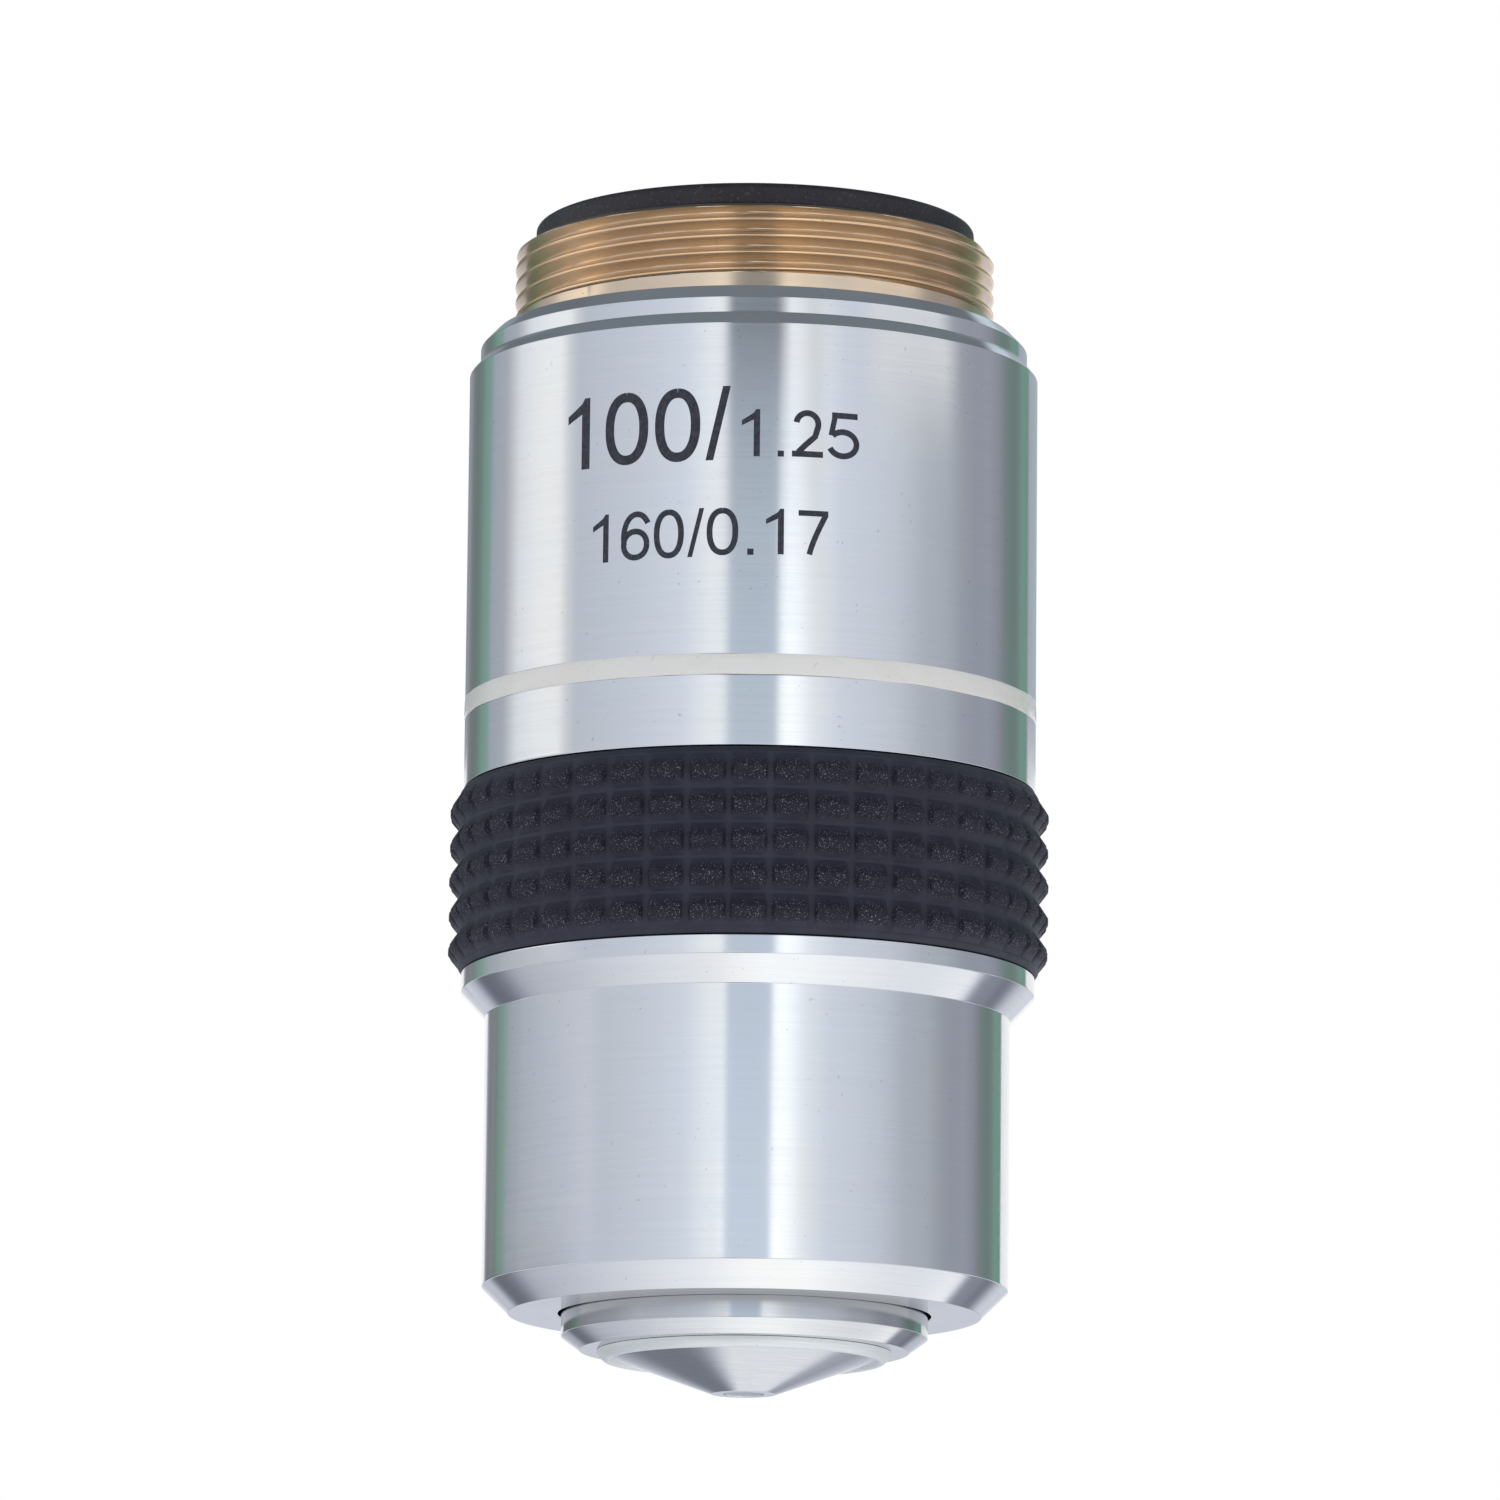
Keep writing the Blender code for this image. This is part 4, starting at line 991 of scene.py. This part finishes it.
def card(name, azimuths, spans, light, place, steps):
    """A curved studio card that only reflections and soft light see."""
    vertices, colours = [], []
    for azimuth in np.linspace(*azimuths, steps[0] + 1):
        for span in np.linspace(*spans, steps[1] + 1):
            vertices.append(place(math.radians(azimuth), span))
            colours.extend((*light(azimuth, span), 1.0))
    faces = []
    row = steps[1] + 1
    for i in range(steps[0]):
        for j in range(steps[1]):
            faces.append((i * row + j, (i + 1) * row + j, (i + 1) * row + j + 1, i * row + j + 1))
    g = material_graph(name)
    g.tree.nodes.remove(g.shader)
    tone = g.node("ShaderNodeVertexColor")
    tone.layer_name = "glow"
    glow = g.node("ShaderNodeEmission", Strength=1.0, Color=tone.outputs[0])
    g.feed(g.output.inputs["Surface"], glow.outputs[0])
    obj = make_object(name, vertices, faces, g.owner, smooth=False)
    layer = obj.data.color_attributes.new("glow", "FLOAT_COLOR", "POINT")
    layer.data.foreach_set("color", np.array(colours, np.float32))
    obj.visible_camera = False
    obj.visible_shadow = False


def upright(azimuth, height):
    """A place on the round wall of cards, with the height in mm."""
    return (WALL * math.sin(azimuth), -WALL * math.cos(azimuth), height * MM)


def sphere_of(radius):
    """Gives the function for a place on a sphere of cards, by its elevation in degrees."""
    def place(azimuth, elevation):
        e = math.radians(elevation)
        way = (math.sin(azimuth) * math.cos(e), -math.cos(azimuth) * math.cos(e), math.sin(e))
        return CENTRE + Vector(way) * radius
    return place


def ease(x):
    """Goes from 0 to 1 with soft ends as x does."""
    x = np.clip(x, 0, 1)
    return x * x * (3 - 2 * x)


def between(value, low, high, soft):
    """1 between two values and 0 outside them, with soft ends."""
    return ease((value - low) / soft) * ease((high - value) / soft)


def stops(table):
    """The table's azimuths and its colours."""
    tones = np.array([level * np.array(TINTS[tint]) for _, level, tint in table])
    return [row[0] for row in table], tones


def tone_at(azimuth, table):
    azimuths, tones = table
    return np.array([np.interp(azimuth, azimuths, tones[:, k]) for k in range(3)])


RING_SPAN = (RING[0][0], RING[-1][0])
RING_TONES, LOW_TONES = stops(RING), stops(LOW_RING)
PANEL_STOPS, PANEL_SHARES = zip(*PANEL)


def ring_light(azimuth, height):
    """The wall of cards: the ring's tones, the dark panel, the plain card and three patches."""
    tone = tone_at(azimuth, RING_TONES)
    if azimuth < LOW_RING[-1][0]:
        tone += (tone_at(azimuth, LOW_TONES) - tone) * ease((-4 - height) / 6)
    panel = between(azimuth, *PANEL_SPAN)
    tone = tone * (1 + (np.interp(height, PANEL_STOPS, PANEL_SHARES) - 1) * panel)
    key = ease((azimuth - KEY_LEFT[0]) / KEY_LEFT[1]) * ease((-1 - height) / 9)
    key *= ease((KEY_RIGHT[0] - azimuth) / KEY_RIGHT[1])
    along = np.clip((azimuth + 114) / 42, 0, 1)
    plain = KEY_TONES[0] * (1 - along) + KEY_TONES[1] * along
    tone = tone * (1 - key) + plain * key
    # Paler high up on the right, for the collar's chamfer
    lift = between(azimuth, 40, 90, 12) * ease((height - 19) / 1.2)
    tone = tone * (1 - lift) + 0.95 * lift
    # Darker high up just right of the panel
    right = ease((azimuth - 10) / 3) * ease((30 - azimuth) / 8)
    tone = tone * (1 - 0.2 * right * ease((height - 5) / 14))
    # Darker at the foot on the left, for the nose
    foot = ease((-60 - azimuth) / 30) * ease((-26.6 - height) / 1.2)
    return tuple(tone * (1 - 0.3 * foot))


def top_light(azimuth, elevation):
    """Dim from above, with a lighter patch low behind on the right."""
    turn = azimuth % 360
    low = ease((50 - elevation) / 20)
    front = (0.24 + 0.20 * low) * (1 - 0.6 * between(azimuth, *FAR_PANEL_SPAN) * low)
    left = 0.20 + 0.13 * ease((32 - elevation) / 5)
    right = 0.20 + 0.28 * ease((38 - elevation) / 4) + 0.26 * between(elevation, 27, 38.5, 3)
    behind = right + (left - right) * ease((turn - 177) / 6)
    rear = between(turn, 135, 225, 10) * ease((66 - elevation) / 8)
    level = front * (1 - rear) + behind * rear
    return (0.89 * level, level, 1.11 * level)


# Light from below by elevation, left and right of the object
LOW_LEFT = [
    (-90, 1.30), (-80, 1.15), (-70, 1.00), (-63, 0.90), (-57, 0.82), (-51, 0.745), (-46, 0.69),
    (-40, 0.63), (-37, 0.58), (-34.5, 0.52), (-32, 0.40), (-29, 0.27), (-26, 0.21), (-22, 0.18),
    (-20, 0.22), (-18, 0.42), (-16, 0.61), (-12, 0.75), (-8, 0.78), (-2, 0.80),
]
LOW_RIGHT = [
    (-90, 1.30), (-75, 1.32), (-70, 1.22), (-63, 1.12), (-57, 1.05), (-51, 1.02), (-45, 1.05),
    (-42, 1.09), (-38.5, 1.15), (-36, 1.12), (-34, 0.50), (-32.5, 0.32), (-27.5, 0.30),
    (-25, 0.23), (-22.5, 0.27), (-20, 0.46), (-17, 0.69), (-12, 0.79), (-2, 0.82),
]
# The same behind the object, where its cone looks
REAR_LEFT = [
    (-47, 0.24), (-36, 0.24), (-30, 0.25), (-27.5, 0.28), (-24, 0.34), (-20.6, 0.42),
    (-17, 0.46), (-15, 0.50), (-10, 0.57), (-7, 0.70), (-2, 0.80),
]
REAR_RIGHT = [
    (-50, 1.03), (-42, 1.02), (-39, 1.00), (-36.6, 0.90), (-34, 0.62), (-32, 0.49),
    (-29, 0.46), (-25, 0.42), (-21.7, 0.49), (-18, 0.54), (-14.5, 0.60), (-9, 0.68), (-2, 0.80),
]


def low_light(azimuth, elevation):
    """White from below, paler to the left, with dark bands near the horizon."""
    turn = azimuth % 360
    across = math.sin(math.radians(azimuth)) * math.cos(math.radians(elevation))
    side = ease((across + 0.2) / 0.3)
    tables = (LOW_LEFT, LOW_RIGHT, REAR_LEFT, REAR_RIGHT)
    left, right, rear_left, rear_right = (np.interp(elevation, *zip(*rows)) for rows in tables)
    level = left + (right - left) * side
    behind = rear_right + (rear_left - rear_right) * ease((turn - 182.5) / 8.5)
    rear = ease((turn - 160) / 6) * ease((203 - turn) / 8) * ease((elevation + 62) / 8)
    level = level + (behind - level) * rear
    level -= 0.55 * between(azimuth, *FAR_PANEL_SPAN) * ease((elevation + 72) / 8)
    dim = 1.3 - level
    return (level * (1.01 - 0.06 * dim), level, level * (0.975 + 0.2 * dim))


card("ring_card", RING_SPAN, (-44, 62), ring_light, upright, (601, 53))
card("top_card", (-180, 180), (10, 90), top_light, sphere_of(0.40), (180, 60))
card("skirt_card", (125, 235), (-32, -2), low_light, sphere_of(0.42), (110, 40))
card("under_card", (-180, 180), (-90, -28), low_light, sphere_of(0.38), (240, 80))


def seen(g):
    """1 for what is seen directly, by reflection or through glass, and 0 for what is lit."""
    path = g.node("ShaderNodeLightPath")
    straight = g.math("MAXIMUM", path.outputs["Is Camera Ray"], path.outputs["Is Glossy Ray"])
    return g.math("MAXIMUM", straight, path.outputs["Is Transmission Ray"])


# A pale floor that shows mostly white, so that it hardly differs from the backdrop
FLOOR_SIDE, FLOOR_HEIGHT = 6.0, -0.5
FLOOR_CORNERS = [(-1, -1), (1, -1), (1, 1), (-1, 1)]

g = material_graph("pale_floor")
grain = g.noise(g.place(), scale=40.0, detail=3.0)
g.set(Base_Color=g.blend(g.ramp(grain, 0.3, 0.7), (0.90,) * 3, (0.94,) * 3), Roughness=0.7)
glow = g.node("ShaderNodeEmission", Color=(1, 1, 1), Strength=1.0)
g.mix_to_output(g.math("MULTIPLY", seen(g), 0.85), g.shader.outputs[0], glow.outputs[0])
corners = [(x * FLOOR_SIDE, y * FLOOR_SIDE, FLOOR_HEIGHT) for x, y in FLOOR_CORNERS]
floor = make_object("floor", corners, [(0, 1, 2, 3)], g.owner, smooth=False)

g = Graph(bpy.data.worlds.new("studio"))
white = g.node("ShaderNodeBackground", Color=(1, 1, 1), Strength=1.0)
soft = g.node("ShaderNodeBackground", Color=(0.92, 0.96, 1.0), Strength=0.8)
g.mix_to_output(seen(g), soft.outputs[0], white.outputs[0])
bpy.context.scene.world = g.owner


# Camera

FOCAL_LENGTH, SENSOR_WIDTH = 237.62, 36  # mm
eye = Vector((-0.003, -410.06, -89.57)) * MM
target = Vector((-0.003, 0.0, -17.55)) * MM
roll = math.radians(0.575)
ahead = (target - eye).normalized()
right = ahead.cross(Vector((0, 0, 1))).normalized()
upward = right.cross(ahead)
x_axis = right * math.cos(roll) + upward * math.sin(roll)
y_axis = upward * math.cos(roll) - right * math.sin(roll)
camera_data = bpy.data.cameras.new("camera")
camera_data.lens = FOCAL_LENGTH
camera_data.sensor_width = SENSOR_WIDTH
camera_data.clip_start = 0.02
camera_data.clip_end = 30
camera = bpy.data.objects.new("camera", camera_data)
turn = Matrix((x_axis, y_axis, -ahead)).transposed()
camera.matrix_world = Matrix.Translation(eye) @ turn.to_4x4()
bpy.context.scene.collection.objects.link(camera)
bpy.context.scene.camera = camera
bpy.context.scene.view_settings.view_transform = "Standard"
